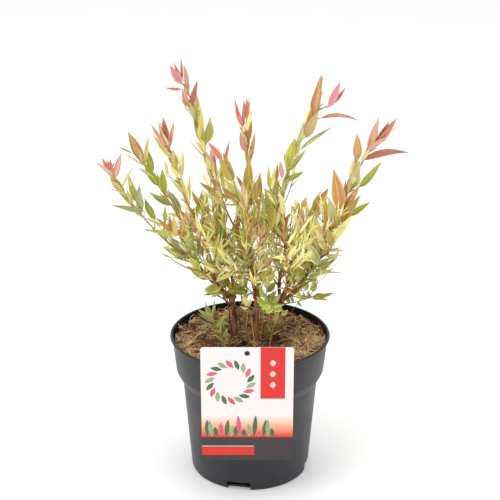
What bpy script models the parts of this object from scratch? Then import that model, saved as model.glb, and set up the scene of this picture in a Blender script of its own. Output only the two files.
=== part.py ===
"""A potted flamingo dappled willow: a young shrub of three rooted stems in a round nursery pot.

Metres, +Z up. The origin is the middle of the pot's flat underside, and -Y is the side that
carries the label card. Each shoot of the crown follows one seeded rule, and each of its leaves
and twigs keeps to the space that lies nearest to that shoot.
"""
import math
import random

import bmesh
import bpy
import numpy as np
from mathutils import Matrix, Vector

MM = 0.001
CLEARANCE = 0.3 * MM

# Pot
POT_HEIGHT = 175 * MM
FOOT_RADIUS = 71.8 * MM
BODY_TOP_RADIUS = 81.0 * MM
BODY_TOP_HEIGHT = 117 * MM
COLLAR_FOOT_RADIUS = 88.7 * MM
COLLAR_FOOT_HEIGHT = 131.5 * MM
COLLAR_TOP_RADIUS = 93.0 * MM
COLLAR_TOP_HEIGHT = 171.5 * MM
RIM_RADIUS = 95.5 * MM
WALL = 1.6 * MM
FLOOR = 2.5 * MM
FOOT_CORNER = 2.4 * MM
STEP_SHARES = (0, 0.33, 0.67, 1)
STEP_BULGE = 0.2
BEAD_TURNS = (-60, -10, 40, 90, 140)
POT_SEGMENTS = 44
NOTCH_WIDTH = 28.5 * MM
NOTCH_HEIGHT = 10.5 * MM
NOTCH_DEPTH_RADIUS = 64 * MM
NOTCH_BEARING = -101
DRAIN_RADIUS = 4.5 * MM
DRAIN_CIRCLE = 40 * MM

# Compost and coir
SOIL_SEGMENTS = 32
COMPOST_FOOT_RADIUS = 58 * MM
COMPOST_CORNER = 13 * MM
COMPOST_TOP = 145 * MM
COIR_TOP = 157 * MM
COIR_RADIUS = 88 * MM
COIR_FLAT_RADIUS = 40 * MM
COIR_SWELL = 8 * MM
COIR_LUMP = 1.6 * MM
COIR_EDGE = 6 * MM
COIR_RING_SHARES = (0.25, 0.5, 0.75, 0.97)

# Label card and its clip
CARD_WIDTH = 105 * MM
CARD_HEIGHT = 148 * MM
CARD_THICKNESS = 0.6 * MM
CARD_CORNER = 3 * MM
CARD_X = -3.2 * MM
CARD_TOP = 202 * MM
CARD_TILT = math.radians(2.2)
CARD_BACK_AT_TOP = -96.9 * MM
PIN_BELOW_TOP = 7.5 * MM
PIN_HEAD_RADIUS = 3 * MM
PIN_SHANK_RADIUS = 1.2 * MM
PIN_HEAD_DEPTH = 1.3 * MM
CLIP_BELOW_TOP = 3 * MM
CLIP_WIDTH = 9 * MM
CLIP_THICKNESS = 1.2 * MM
CLIP_LEG_END = 166 * MM

# Stems: name, foot (x, y) on the coir, head (x, y, z), foot radius
STEMS = [
    ("stem_left", (-15, 26), (-21, 24, 211), 2.9),
    ("stem_centre", (5, 14), (8, 14, 216), 3.4),
    ("stem_right", (17, 26), (37, 25, 204), 2.8),
]
STEM_FLARE = 1.6
STEM_HEAD_RADIUS = 5.2
STEM_STEPS = 7
STEM_TAPER = 0.12
KNOT_TURNS = (-50, -5, 40, 70)

# Boughs: name, stem that carries it, tip (x, y, z) in millimetres
BOUGHS = [
    ("bough_left_outer", "stem_left", (-62, 20, 256)),
    ("bough_left_upright", "stem_left", (-30, 14, 274)),
    ("bough_left_back", "stem_left", (-40, 58, 262)),
    ("bough_left_front", "stem_left", (-44, -18, 258)),
    ("bough_centre_upright", "stem_centre", (-4, 20, 284)),
    ("bough_centre_front", "stem_centre", (2, -28, 264)),
    ("bough_centre_back", "stem_centre", (16, 62, 270)),
    ("bough_right_upright", "stem_right", (42, 20, 278)),
    ("bough_right_outer", "stem_right", (72, 8, 256)),
    ("bough_right_front", "stem_right", (46, -22, 258)),
    ("bough_right_back", "stem_right", (62, 58, 244)),
]
BOUGH_FOOT_RADIUS = 2.2
BOUGH_TIP_RADIUS = 1.5
BOUGH_KNOT_RADIUS = 2.6
BOUGH_STEPS = 5
BOUGH_ANGLE_APART = 58

# Shoots: name, bough, tip (x, y, z) and side tips as (share of the way, (x, y, z)), in millimetres
SHOOTS = [
    ("foliage_left_far", "bough_left_outer", (-170, 0, 396), [(0.80, (-146, -4, 399))]),
    ("foliage_left_high", "bough_left_outer", (-141, 45, 409), []),
    ("foliage_left_top", "bough_left_upright", (-77, 20, 503), []),
    ("foliage_left_middle", "bough_left_upright", (-98, -30, 450), []),
    ("foliage_left_inner", "bough_left_upright", (-34, -12, 338), []),
    ("foliage_back_left", "bough_left_back", (-64, 105, 328), []),
    ("foliage_back_far_left", "bough_left_back", (-118, 92, 348), []),
    ("foliage_front_left", "bough_left_front", (-69, -90, 364), [(0.60, (-112, -82, 335))]),
    ("foliage_low_left", "bough_left_front", (-98, -66, 306), []),
    ("foliage_centre_left", "bough_centre_upright", (-45, -25, 416), []),
    ("foliage_centre_top", "bough_centre_upright", (-4, 35, 455), []),
    ("foliage_centre_inner", "bough_centre_upright", (14, -16, 374), []),
    ("foliage_centre_front", "bough_centre_front", (-11, -80, 398), []),
    ("foliage_low_front", "bough_centre_front", (-51, -95, 304), []),
    ("foliage_back_centre", "bough_centre_back", (34, 105, 353), []),
    ("foliage_back_middle", "bough_centre_back", (-25, 125, 330), []),
    ("foliage_right_top", "bough_right_upright", (80, 5, 486),
     [(0.76, (104, 5, 480)), (0.84, (124, 5, 439))]),
    ("foliage_right_inner", "bough_right_upright", (86, 60, 330), []),
    ("foliage_right_middle", "bough_right_upright", (40, -14, 348), []),
    ("foliage_right_far", "bough_right_outer", (164, -10, 438),
     [(0.30, (97, 8, 380)), (0.50, (119, -14, 428)), (0.70, (143, -10, 442)), (0.78, (177, -10, 402))]),
    ("foliage_right_low", "bough_right_outer", (106, -34, 290), []),
    ("foliage_front_right", "bough_right_front", (60, -72, 366), []),
    ("foliage_front_far_right", "bough_right_front", (41, -115, 356), []),
    ("foliage_back_low", "bough_right_back", (104, 52, 212), [(0.40, (106, 72, 240))]),
    ("foliage_back_right", "bough_right_back", (84, 122, 330), []),
    ("foliage_soil_left", None, (-54, -34, 229), []),
    ("foliage_soil_centre", None, (34, -8, 212), [(0.55, (10, -14, 204))]),
]
SOIL_SHOOT_FEET = {"foliage_soil_left": (-28, -25), "foliage_soil_centre": (24, 0)}

# Twigs and leaves, in millimetres and degrees
AXIS_STEPS = 7
BRANCH_STEPS = 3
SHOOT_ANGLE_APART = 62
SHOOT_FOOT_RADIUS = 1.5
SHOOT_TIP_RADIUS = 0.8
BRANCH_FOOT_RADIUS = 1.2
TWIG_FOOT_RADIUS = 1.1
TWIG_STEPS = 1
TWIG_SHARE = 0.34
TWIG_MIN_LENGTH = 18
TWIG_FIRST_SHARE = 0.10
TWIG_LAST_SHARE = 0.60
TWIG_STEP_SHARE = 0.13
TWIG_LEAF_SPACING = 14
TWIG_LEAF_LENGTH = 24
LEAF_FIRST = 16
LEAF_SPACING = 20
LEAF_TURN = 97
LEAF_OPENING_LOW = 48
LEAF_OPENING_HIGH = 22
LEAF_LENGTH_LOW = 28
LEAF_LENGTH_HIGH = 46
BRANCH_LEAF_LOW = 36
LEAF_WIDTH_SHARE = 0.25
LEAF_WIDEST = 0.40
LEAF_DROOP = 0.06
LEAF_THICKNESS_SHARE = 0.018
LEAF_MIN_THICKNESS = 0.6
LEAF_TRIES = (1, 0.75)
LEAF_SAMPLE_SHARES = (0.12, 0.28, 0.40, 0.55, 0.70, 0.85, 1.0)
TIP_LEAF_LENGTH = 37
SPACE_MARGIN = 0.6
LIMB_MARGIN = 1.2
LEAF_MARGIN = 0.9
COIR_MARGIN = 4
SEED = 7
SOLVER = "EXACT"


def clear_scene():
    """Take every object out of the scene."""
    for old in list(bpy.data.objects):
        bpy.data.objects.remove(old, do_unlink=True)


def material(name, colour, roughness, metallic=0.0):
    """A Principled material with one colour."""
    made = bpy.data.materials.new(name)
    made.use_nodes = True
    shader = made.node_tree.nodes["Principled BSDF"]
    shader.inputs["Base Color"].default_value = (*colour, 1.0)
    shader.inputs["Roughness"].default_value = roughness
    shader.inputs["Metallic"].default_value = metallic
    made.diffuse_color = (*colour, 1.0)
    return made


def object_from(name, shape, finish, smooth_angle=None):
    """Turn a bmesh into a named object with its material, and free the bmesh."""
    bmesh.ops.recalc_face_normals(shape, faces=shape.faces)
    mesh = bpy.data.meshes.new(name)
    shape.to_mesh(mesh)
    shape.free()
    if smooth_angle is not None:
        mesh.shade_smooth()
        mesh.set_sharp_from_angle(angle=math.radians(smooth_angle))
    if finish:
        mesh.materials.append(finish)
    made = bpy.data.objects.new(name, mesh)
    bpy.context.scene.collection.objects.link(made)
    return made


def turned(profile, segments):
    """Spin an outline of (radius, height) points once round Z and weld its seam and its axis."""
    shape = bmesh.new()
    points = [shape.verts.new((radius, 0, height)) for radius, height in profile]
    edges = [shape.edges.new(pair) for pair in zip(points, points[1:])]
    bmesh.ops.spin(shape, geom=points + edges, cent=(0, 0, 0), axis=(0, 0, 1),
                   angle=math.tau, steps=segments, use_merge=True)
    bmesh.ops.remove_doubles(shape, verts=shape.verts, dist=1e-6)
    return shape


def box(shape, size, place):
    """Add a box of a given size, moved by a matrix."""
    bmesh.ops.create_cube(shape, size=1, matrix=place @ Matrix.Diagonal((*size, 1)))


def pot_outline():
    """The pot's wall: outer side from the foot up, over the rim, and down the inside."""
    step_rise = COLLAR_FOOT_HEIGHT - BODY_TOP_HEIGHT
    step_reach = COLLAR_FOOT_RADIUS - BODY_TOP_RADIUS
    step = [(BODY_TOP_RADIUS + step_reach * share * (1 + STEP_BULGE - STEP_BULGE * share),
             BODY_TOP_HEIGHT + step_rise * share) for share in STEP_SHARES]
    bead_height = (POT_HEIGHT - COLLAR_TOP_HEIGHT) / 2
    bead_middle = POT_HEIGHT - bead_height
    bead_reach = (RIM_RADIUS - COLLAR_TOP_RADIUS + WALL) / 2
    bead_radius = RIM_RADIUS - bead_reach
    bead = [(bead_radius + bead_reach * math.cos(math.radians(turn)),
             bead_middle + bead_height * math.sin(math.radians(turn)))
            for turn in BEAD_TURNS]
    outer = [(0, 0), (FOOT_RADIUS - FOOT_CORNER, 0), (FOOT_RADIUS, FOOT_CORNER)]
    outer += step + [(COLLAR_TOP_RADIUS, COLLAR_TOP_HEIGHT)] + bead
    inner = [(COLLAR_TOP_RADIUS - WALL, COLLAR_TOP_HEIGHT)]
    inner += [(radius - WALL, height) for radius, height in reversed(step)]
    inner += [(inner_radius(FLOOR), FLOOR), (0, FLOOR)]
    return outer + inner


def inner_radius(height):
    """Radius of the inside of the pot's straight lower wall at a height."""
    share = height / BODY_TOP_HEIGHT
    return FOOT_RADIUS + (BODY_TOP_RADIUS - FOOT_RADIUS) * share - WALL


def collar_inner_radius(height):
    """Radius of the inside of the pot's collar at a height."""
    share = (height - COLLAR_FOOT_HEIGHT) / (COLLAR_TOP_HEIGHT - COLLAR_FOOT_HEIGHT)
    return COLLAR_FOOT_RADIUS + (COLLAR_TOP_RADIUS - COLLAR_FOOT_RADIUS) * share - WALL


def make_pot(finish):
    """The round pot, with four notches and four drain holes cut in its foot."""
    pot = object_from("pot", turned(pot_outline(), POT_SEGMENTS), finish, 40)
    cuts = bmesh.new()
    for quarter in range(4):
        turn = Matrix.Rotation(math.radians(NOTCH_BEARING + 90 * quarter), 4, "Z")
        reach = (NOTCH_DEPTH_RADIUS + 2 * FOOT_RADIUS) / 2
        length = 2 * FOOT_RADIUS - NOTCH_DEPTH_RADIUS
        box(cuts, (length, NOTCH_WIDTH, 2 * NOTCH_HEIGHT), turn @ Matrix.Translation((reach, 0, 0)))
        hole = turn @ Matrix.Rotation(math.radians(45), 4, "Z") @ Matrix.Translation((DRAIN_CIRCLE, 0, 0))
        bmesh.ops.create_cone(cuts, cap_ends=True, segments=12, radius1=DRAIN_RADIUS,
                              radius2=DRAIN_RADIUS, depth=6 * FLOOR, matrix=hole)
    cutter = object_from("pot_foot_cuts", cuts, None)
    cutter.hide_render = True
    cutter.display_type = "WIRE"
    cut = pot.modifiers.new("foot cuts", "BOOLEAN")
    cut.object = cutter
    cut.operation = "DIFFERENCE"


def make_compost(finish):
    """The root ball of compost that fills the pot below the coir."""
    slack = 2 * CLEARANCE
    low = FLOOR + CLEARANCE
    outline = [(0, low), (COMPOST_FOOT_RADIUS, low),
               (inner_radius(COMPOST_CORNER) - slack, COMPOST_CORNER),
               (inner_radius(BODY_TOP_HEIGHT) - slack, BODY_TOP_HEIGHT),
               (COLLAR_FOOT_RADIUS - 3 * WALL, COLLAR_FOOT_HEIGHT + WALL),
               (COIR_RADIUS, COMPOST_TOP), (0, COMPOST_TOP)]
    object_from("compost", turned(outline, SOIL_SEGMENTS), finish, 40)


def coir_height(x, y):
    """Height of the coir's top at a place: flat round the stems, swelling to the sides."""
    radius = math.hypot(x, y)
    if radius <= COIR_FLAT_RADIUS:
        return COIR_TOP
    share = (radius - COIR_FLAT_RADIUS) / (COIR_RADIUS - COIR_FLAT_RADIUS)
    bearing = math.atan2(y, x)
    lump = math.sin(5 * bearing + 1.3) + math.sin(9 * bearing + 7 * share)
    lump += math.sin(13 * share + 2 * bearing)
    swell = COIR_SWELL * math.sin(math.pi * min(share, 0.9) * 0.75)
    return COIR_TOP + swell + COIR_LUMP * share * lump * 0.5


def make_coir(finish):
    """The fibrous coir mulch: a disc with a lumpy top, flat where the stems stand."""
    low = COMPOST_TOP + CLEARANCE
    rings = [(0, COIR_TOP), (COIR_FLAT_RADIUS, COIR_TOP)]
    rings += [(COIR_FLAT_RADIUS + (COIR_RADIUS - COIR_FLAT_RADIUS) * share, COIR_TOP)
              for share in COIR_RING_SHARES]
    outline = [(0, low), (COIR_RADIUS - MM, low), (COIR_RADIUS, low + COIR_EDGE)] + rings[::-1]
    shape = turned(outline, SOIL_SEGMENTS)
    for vert in shape.verts:
        if abs(vert.co.z - COIR_TOP) < 1e-5:
            vert.co.z = coir_height(vert.co.x, vert.co.y)
    object_from("coir", shape, finish, 60)


def card_frame():
    """Where the card's own axes lie: origin at the middle of its top edge, on its back face."""
    return Matrix.Translation((CARD_X, CARD_BACK_AT_TOP, CARD_TOP)) @ Matrix.Rotation(CARD_TILT, 4, "X")


def make_card(finish):
    """The printed label card, with round corners and a hole for the clip's stud."""
    shape = bmesh.new()
    half = CARD_WIDTH / 2
    corners = [(half, 0, 0), (half, -CARD_HEIGHT, 270), (-half, -CARD_HEIGHT, 180), (-half, 0, 90)]
    outline = []
    for x, z, turn in corners:
        middle = Vector((x - math.copysign(CARD_CORNER, x), 0, z + (CARD_CORNER if z < 0 else -CARD_CORNER)))
        for step in (90, 60, 30, 0):
            angle = math.radians(turn + step)
            outline.append(middle + CARD_CORNER * Vector((math.cos(angle), 0, math.sin(angle))))
    face = shape.faces.new([shape.verts.new(point) for point in outline])
    grown = bmesh.ops.extrude_face_region(shape, geom=[face])
    moved = [part for part in grown["geom"] if isinstance(part, bmesh.types.BMVert)]
    bmesh.ops.translate(shape, verts=moved, vec=(0, -CARD_THICKNESS, 0))
    card = object_from("label_card", shape, finish)
    card.matrix_world = card_frame()
    hole = bmesh.new()
    bmesh.ops.create_cone(hole, cap_ends=True, segments=16, radius1=PIN_SHANK_RADIUS + CLEARANCE,
                          radius2=PIN_SHANK_RADIUS + CLEARANCE, depth=10 * MM, matrix=stud_place(0))
    cutter = object_from("card_hole_cut", hole, None)
    cutter.hide_render = True
    cutter.display_type = "WIRE"
    cut = card.modifiers.new("stud hole", "BOOLEAN")
    cut.object = cutter
    cut.operation = "DIFFERENCE"


def stud_place(forward):
    """A cylinder's place on the stud's axis, a distance in front of the card's back face."""
    return card_frame() @ Matrix.Translation((0, -forward, -PIN_BELOW_TOP)) @ Matrix.Rotation(
        math.radians(90), 4, "X")


def card_back(height):
    """Where the card's leaning back face lies at a height."""
    return CARD_BACK_AT_TOP + math.tan(CARD_TILT) * (CARD_TOP - height)


def make_clip(finish):
    """The moulded clip: a hook over the rim whose stud goes through the card to a round head."""
    top = CARD_TOP - CLIP_BELOW_TOP
    over = POT_HEIGHT + CLEARANCE
    front_top, front_low = card_back(top) + CLEARANCE, card_back(over) + CLEARANCE
    leg_outer = -(collar_inner_radius(CLIP_LEG_END) - 3 * CLEARANCE)
    leg_inner = leg_outer + CLIP_THICKNESS
    outline = [(front_top, top), (front_low, over), (leg_outer, over), (leg_outer, CLIP_LEG_END),
               (leg_inner, CLIP_LEG_END), (leg_inner, over + CLIP_THICKNESS),
               (front_low + CLIP_THICKNESS, over + CLIP_THICKNESS), (front_top + CLIP_THICKNESS, top)]
    shape = bmesh.new()
    left = CARD_X - CLIP_WIDTH / 2
    face = shape.faces.new([shape.verts.new((left, y, z)) for y, z in outline])
    grown = bmesh.ops.extrude_face_region(shape, geom=[face])
    moved = [part for part in grown["geom"] if isinstance(part, bmesh.types.BMVert)]
    bmesh.ops.translate(shape, verts=moved, vec=(CLIP_WIDTH, 0, 0))
    clip = object_from("label_clip", shape, finish)
    reach = CARD_THICKNESS + CLEARANCE
    overlap = CLIP_THICKNESS / 2
    shank = bmesh.new()
    bmesh.ops.create_cone(shank, cap_ends=True, segments=12, radius1=PIN_SHANK_RADIUS,
                          radius2=PIN_SHANK_RADIUS, depth=CLEARANCE + reach + 2 * overlap,
                          matrix=stud_place((reach - CLEARANCE) / 2))
    head = bmesh.new()
    bmesh.ops.create_cone(head, cap_ends=True, segments=20, radius1=PIN_HEAD_RADIUS,
                          radius2=0.7 * PIN_HEAD_RADIUS, depth=PIN_HEAD_DEPTH,
                          matrix=stud_place(reach + PIN_HEAD_DEPTH / 2))
    join_all(clip, [object_from("clip_shank", shank, None), object_from("clip_head", head, None)])


def join_all(base, pieces, solver="EXACT"):
    """Fuse a list of closed pieces to a base by one Boolean union, then remove them."""
    group = bpy.data.collections.new(base.name + " pieces")
    bpy.context.scene.collection.children.link(group)
    for piece in pieces:
        bpy.context.scene.collection.objects.unlink(piece)
        group.objects.link(piece)
    union = base.modifiers.new("union", "BOOLEAN")
    union.operation = "UNION"
    union.operand_type = "COLLECTION"
    union.collection = group
    union.solver = solver
    bpy.context.view_layer.update()
    joined = bpy.data.meshes.new_from_object(base.evaluated_get(bpy.context.evaluated_depsgraph_get()))
    base.modifiers.remove(union)
    base.data = joined
    for piece in pieces:
        bpy.data.objects.remove(piece, do_unlink=True)
    bpy.data.collections.remove(group)
    keep_largest_shell(base.data)


def keep_largest_shell(mesh):
    """Drop loose scraps, and fill sealed hollows by dropping the shells that bound them."""
    shape = bmesh.new()
    shape.from_mesh(mesh)
    left = set(shape.verts)
    shells = []
    while left:
        shell, found = set(), [left.pop()]
        while found:
            vert = found.pop()
            shell.add(vert)
            for edge in vert.link_edges:
                other = edge.other_vert(vert)
                if other in left:
                    left.remove(other)
                    found.append(other)
        shells.append(shell)
    shells.sort(key=len)
    for shell in shells[:-1]:
        bmesh.ops.delete(shape, geom=list(shell), context="VERTS")
    shape.to_mesh(mesh)
    shape.free()


def curve(start, leave, end, arrive, steps):
    """Points along a smooth curve that leaves one way and arrives another."""
    reach = (end - start).length / 3
    one, two = start + leave.normalized() * reach, end - arrive.normalized() * reach
    points = []
    for step in range(steps + 1):
        t = step / steps
        s = 1 - t
        points.append(start * s ** 3 + one * 3 * s * s * t + two * 3 * s * t * t + end * t ** 3)
    return points


def spread(directions, angle):
    """Turn directions that start at one knot apart until each pair is at least an angle apart."""
    turned_out = [direction.normalized() for direction in directions]
    for _ in range(200):
        for i, one in enumerate(turned_out):
            for j in range(i):
                two = turned_out[j]
                short = angle - one.angle(two)
                if short > 0:
                    away = (one - two).normalized() * math.radians(1) * (1 + short)
                    turned_out[i] = one = (one + away).normalized()
                    turned_out[j] = (two - away).normalized()
    return turned_out


def tube(points, radii, sides, leave, knot=None):
    """A closed tube along points, its flat foot square to the way it leaves; a knot rounds its end."""
    stations = list(zip(points, radii))
    if knot:
        way = (points[-1] - points[-2]).normalized()
        stations[-1:] = [(points[-1] + way * knot * math.sin(math.radians(turn)),
                          knot * math.cos(math.radians(turn))) for turn in KNOT_TURNS]
    shape = bmesh.new()
    ways = [(stations[min(i + 1, len(stations) - 1)][0] - stations[max(i - 1, 0)][0]).normalized()
            for i in range(len(stations))]
    ways[0] = leave.normalized()
    side = ways[0].orthogonal().normalized()
    rings = []
    for (place, radius), way in zip(stations, ways):
        side = (side - way * side.dot(way)).normalized()
        other = way.cross(side)
        rings.append([shape.verts.new(place + radius * (side * math.cos(turn) + other * math.sin(turn)))
                      for turn in (math.tau * k / sides for k in range(sides))])
    for low, high in zip(rings, rings[1:]):
        for k in range(sides):
            shape.faces.new((low[k - 1], low[k], high[k], high[k - 1]))
    shape.faces.new(rings[0][::-1])
    shape.faces.new(rings[-1])
    return shape


def leaf(root, way, up, length, width):
    """A pointed leaf of six faces: widest at two fifths, keeled below, its tip drooping."""
    side = way.cross(up).normalized()
    face = side.cross(way).normalized()
    thick = max(LEAF_THICKNESS_SHARE * length, LEAF_MIN_THICKNESS * MM)
    middle = root + way * length * LEAF_WIDEST
    shape = bmesh.new()
    foot = shape.verts.new(root)
    tip = shape.verts.new(root + way * length - face * length * LEAF_DROOP)
    ring = [shape.verts.new(middle + side * width / 2), shape.verts.new(middle - side * width / 2),
            shape.verts.new(middle - face * thick)]
    for k in range(3):
        shape.faces.new((foot, ring[k - 1], ring[k]))
        shape.faces.new((tip, ring[k], ring[k - 1]))
    return shape


def vector(point):
    """A point in millimetres as a vector in metres."""
    return Vector(point) * MM


def lay_out_limbs():
    """Centre lines and radii of the stems and boughs, and where each shoot starts."""
    limbs = {}
    heads = {}
    for name, foot, head, radius in STEMS:
        start, end = vector((*foot, COIR_TOP / MM)) + Vector((0, 0, CLEARANCE)), vector(head)
        up = Vector((0, 0, 1))
        points = curve(start, up, end, end - start, STEM_STEPS)
        radii = [radius * MM * (1 + (STEM_FLARE - 1) * (1 - share) ** 4 - STEM_TAPER * share)
                 for share in (step / STEM_STEPS for step in range(STEM_STEPS + 1))]
        limbs[name] = (points, radii, 8, up, STEM_HEAD_RADIUS * MM)
        heads[name] = end
    for stem in heads:
        own = [bough for bough in BOUGHS if bough[1] == stem]
        ways = spread([vector(tip) - heads[stem] for _, _, tip in own], math.radians(BOUGH_ANGLE_APART))
        for (name, _, tip), way in zip(own, ways):
            start = heads[stem] + way * (STEM_HEAD_RADIUS * MM + CLEARANCE)
            end = vector(tip)
            points = curve(start, way, end, (end - start).normalized() + Vector((0, 0, 0.5)), BOUGH_STEPS)
            radii = [(BOUGH_FOOT_RADIUS + (BOUGH_TIP_RADIUS - BOUGH_FOOT_RADIUS) * step / BOUGH_STEPS) * MM
                     for step in range(BOUGH_STEPS + 1)]
            limbs[name] = (points, radii, 6, way, BOUGH_KNOT_RADIUS * MM)
    return limbs


def lay_out_shoots(limbs):
    """The centre line of each shoot and of its side branches, from its bough's tip to its own."""
    shoots = {}
    for bough in [name for name, _, _ in BOUGHS] + [None]:
        own = [shoot for shoot in SHOOTS if shoot[1] == bough]
        if bough:
            head = limbs[bough][0][-1]
            ways = spread([vector(tip) - head for _, _, tip, _ in own], math.radians(SHOOT_ANGLE_APART))
            starts = [head + way * (BOUGH_KNOT_RADIUS * MM + CLEARANCE) for way in ways]
        else:
            starts = [vector((*SOIL_SHOOT_FEET[name], COIR_TOP / MM)) + Vector((0, 0, CLEARANCE))
                      for name, _, _, _ in own]
            ways = [Vector((0, 0, 1)) for _ in own]
        for (name, _, tip, sides), start, way in zip(own, starts, ways):
            end = vector(tip)
            straight = (end - start).normalized()
            axis = curve(start, way, end, straight + Vector((0, 0, 0.45)), AXIS_STEPS)
            branches = []
            axis[0:1] = [start, start + way * MM]
            for share, side_tip in sides:
                fork = axis[round(share * AXIS_STEPS)]
                side_end = vector(side_tip)
                leave = (side_end - fork).normalized() + straight
                branches.append(curve(fork, leave, side_end, side_end - fork, BRANCH_STEPS))
            shoots[name] = (axis, branches)
    return shoots


class Space:
    """Tells whether points lie nearest to their own shoot, clear of every limb and of the coir."""

    def __init__(self, limbs, shoots):
        self.own = {}
        for name, (axis, branches) in shoots.items():
            self.own[name] = self.segments([axis] + branches)
        self.limbs = [(self.segments([points]), max(radii[1:] + [knot]))
                      for points, radii, _, _, knot in limbs.values()]

    @staticmethod
    def segments(lines):
        starts = np.array([point for line in lines for point in line[:-1]])
        ends = np.array([point for line in lines for point in line[1:]])
        return starts, ends

    @staticmethod
    def distance(points, segments):
        starts, ends = segments
        along = ends - starts
        share = np.einsum("psk,sk->ps", points[:, None] - starts, along) / np.einsum("sk,sk->s", along, along)
        nearest = starts + np.clip(share, 0, 1)[..., None] * along
        return np.linalg.norm(points[:, None] - nearest, axis=2).min(axis=1)

    def clear(self, name, points):
        points = np.array(points)
        for x, y, z in points:
            if math.hypot(x, y) > COIR_RADIUS or y < -COIR_RADIUS:
                if z < POT_HEIGHT + COIR_MARGIN * MM or (abs(x - CARD_X) < CARD_WIDTH / 2 + 3 * MM and
                                                         y < -80 * MM and z < CARD_TOP + 3 * MM):
                    return False
            elif z < coir_height(x, y) + COIR_MARGIN * MM:
                return False
        for segments, radius in self.limbs:
            if self.distance(points, segments).min() < radius + LIMB_MARGIN * MM:
                return False
        mine = self.distance(points, self.own[name])
        for other, segments in self.own.items():
            if other != name and (self.distance(points, segments) - mine).min() < 2 * SPACE_MARGIN * MM:
                return False
        return True


def turned_way(way, opening, turn):
    """A direction that opens from a way by one angle and is turned round it by another."""
    side = way.orthogonal().normalized()
    side.rotate(Matrix.Rotation(math.radians(turn), 3, way))
    return (way * math.cos(math.radians(opening)) + side * math.sin(math.radians(opening))).normalized()


def along(points, distance):
    """The point and the direction at a distance along a line of points."""
    for start, end in zip(points, points[1:]):
        step = (end - start).length
        if distance <= step:
            return start.lerp(end, distance / step), (end - start).normalized()
        distance -= step
    return points[-1].copy(), (points[-1] - points[-2]).normalized()


def length_of(points):
    """Length of a line of points."""
    return sum((end - start).length for start, end in zip(points, points[1:]))


def leaf_samples(root, way, up, length, width):
    """Points spread over a leaf, from just outside its twig to its tip."""
    side = way.cross(up).normalized() * width / 2
    samples = []
    for share in LEAF_SAMPLE_SHARES:
        middle = root + way * length * share
        reach = share / LEAF_WIDEST if share < LEAF_WIDEST else (1 - share) / (1 - LEAF_WIDEST)
        samples += [middle - side * reach, middle, middle + side * reach]
    return np.array(samples)


def lay_out_twigs(name, axis, branches, space, rng):
    """The lines of one shoot: its axis, its long side branches and its short twigs.

    Each line holds its points, foot radius, leaf spacing, lowest and highest leaf length and the
    length of its end leaf, by which the line stops short of the shoot's tip.
    """
    lines = []
    for points, foot, low in [(axis, SHOOT_FOOT_RADIUS, LEAF_LENGTH_LOW)] + [
            (branch, BRANCH_FOOT_RADIUS, BRANCH_LEAF_LOW) for branch in branches]:
        end_leaf = min(TIP_LEAF_LENGTH * MM, 0.5 * length_of(points))
        lines.append((shorten(points, end_leaf), foot, LEAF_SPACING, low, LEAF_LENGTH_HIGH, end_leaf))
    cut = lines[0][0]
    total = length_of(cut)
    turn = rng.uniform(0, 360)
    share = TWIG_FIRST_SHARE
    while share < TWIG_LAST_SHARE:
        root, way = along(cut, share * total)
        length = max(TWIG_MIN_LENGTH * MM, TWIG_SHARE * (1 - share) * total) * rng.uniform(0.7, 1.0)
        direction = turned_way(way, rng.uniform(42, 58), turn)
        end = root + (direction * 0.85 + way * 0.3).normalized() * length
        points = curve(root, direction, end, direction + way, TWIG_STEPS)
        if space.clear(name, [points[0].lerp(points[-1], share_out) for share_out in (0.3, 0.65, 1)]):
            lines.append((points, TWIG_FOOT_RADIUS, TWIG_LEAF_SPACING, TWIG_LEAF_LENGTH, TWIG_LEAF_LENGTH,
                          TWIG_LEAF_LENGTH * MM))
        turn += 137.5
        share += TWIG_STEP_SHARE
    return lines


def deal_leaves(name, lines, space, rng):
    """Leaves in pairs along each line and at its end; one that meets another is skipped."""
    leaves = []
    taken = [space.segments([line[0]]) for line in lines]

    def fits(own, samples):
        if not space.clear(name, samples):
            return False
        for index, segments in enumerate(taken):
            tested = samples[6:] if index == own else samples
            if space.distance(tested, segments).min() < LEAF_MARGIN * MM:
                return False
        for _, other in leaves:
            if np.linalg.norm(samples[3:, None] - other[None, 3:], axis=2).min() < 2 * LEAF_MARGIN * MM:
                return False
        return True

    def add(own, root, way, up, length):
        width = length * LEAF_WIDTH_SHARE * rng.uniform(0.9, 1.1)
        for shorter in LEAF_TRIES:
            parts = (root, way, up, length * shorter, width * shorter)
            samples = leaf_samples(*parts)
            if fits(own, samples):
                leaves.append((parts, samples))
                return

    for own, (points, _, spacing, low, high, end_leaf) in enumerate(lines):
        total = length_of(points)
        turn = rng.uniform(0, 360)
        tip, way = along(points, total)
        add(own, tip - way * MM, turned_way(way, 3, turn), way.orthogonal(), end_leaf + MM)
        for half in (0, 180):
            direction = turned_way(way, 18, turn + 90 + half)
            add(own, tip - way * 3 * MM, direction, way, 0.9 * end_leaf)
        place = LEAF_FIRST * MM
        while place < total - 6 * MM:
            share = place / total
            for half in (0, 180):
                root, way = along(points, place + half * MM / 100)
                opening = LEAF_OPENING_LOW + (LEAF_OPENING_HIGH - LEAF_OPENING_LOW) * share
                direction = turned_way(way, opening, turn + half + rng.uniform(-12, 12))
                length = (low + (high - low) * min(1, 1.4 * share)) * rng.uniform(0.88, 1.12) * MM
                add(own, root, direction, way, length)
            turn += LEAF_TURN
            place += spacing * MM * rng.uniform(0.9, 1.1)
    return [parts for parts, _ in leaves]


def shorten(points, length):
    """The same line, cut short of its end by a length."""
    total = length_of(points) - length
    steps = len(points) - 1
    return [along(points, total * step / steps)[0] for step in range(steps + 1)]


def make_limbs(limbs, finish):
    """One tapering solid for each stem and each bough."""
    for name, (points, radii, sides, leave, knot) in limbs.items():
        object_from(name, tube(points, radii, sides, leave, knot), finish, 60)


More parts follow.
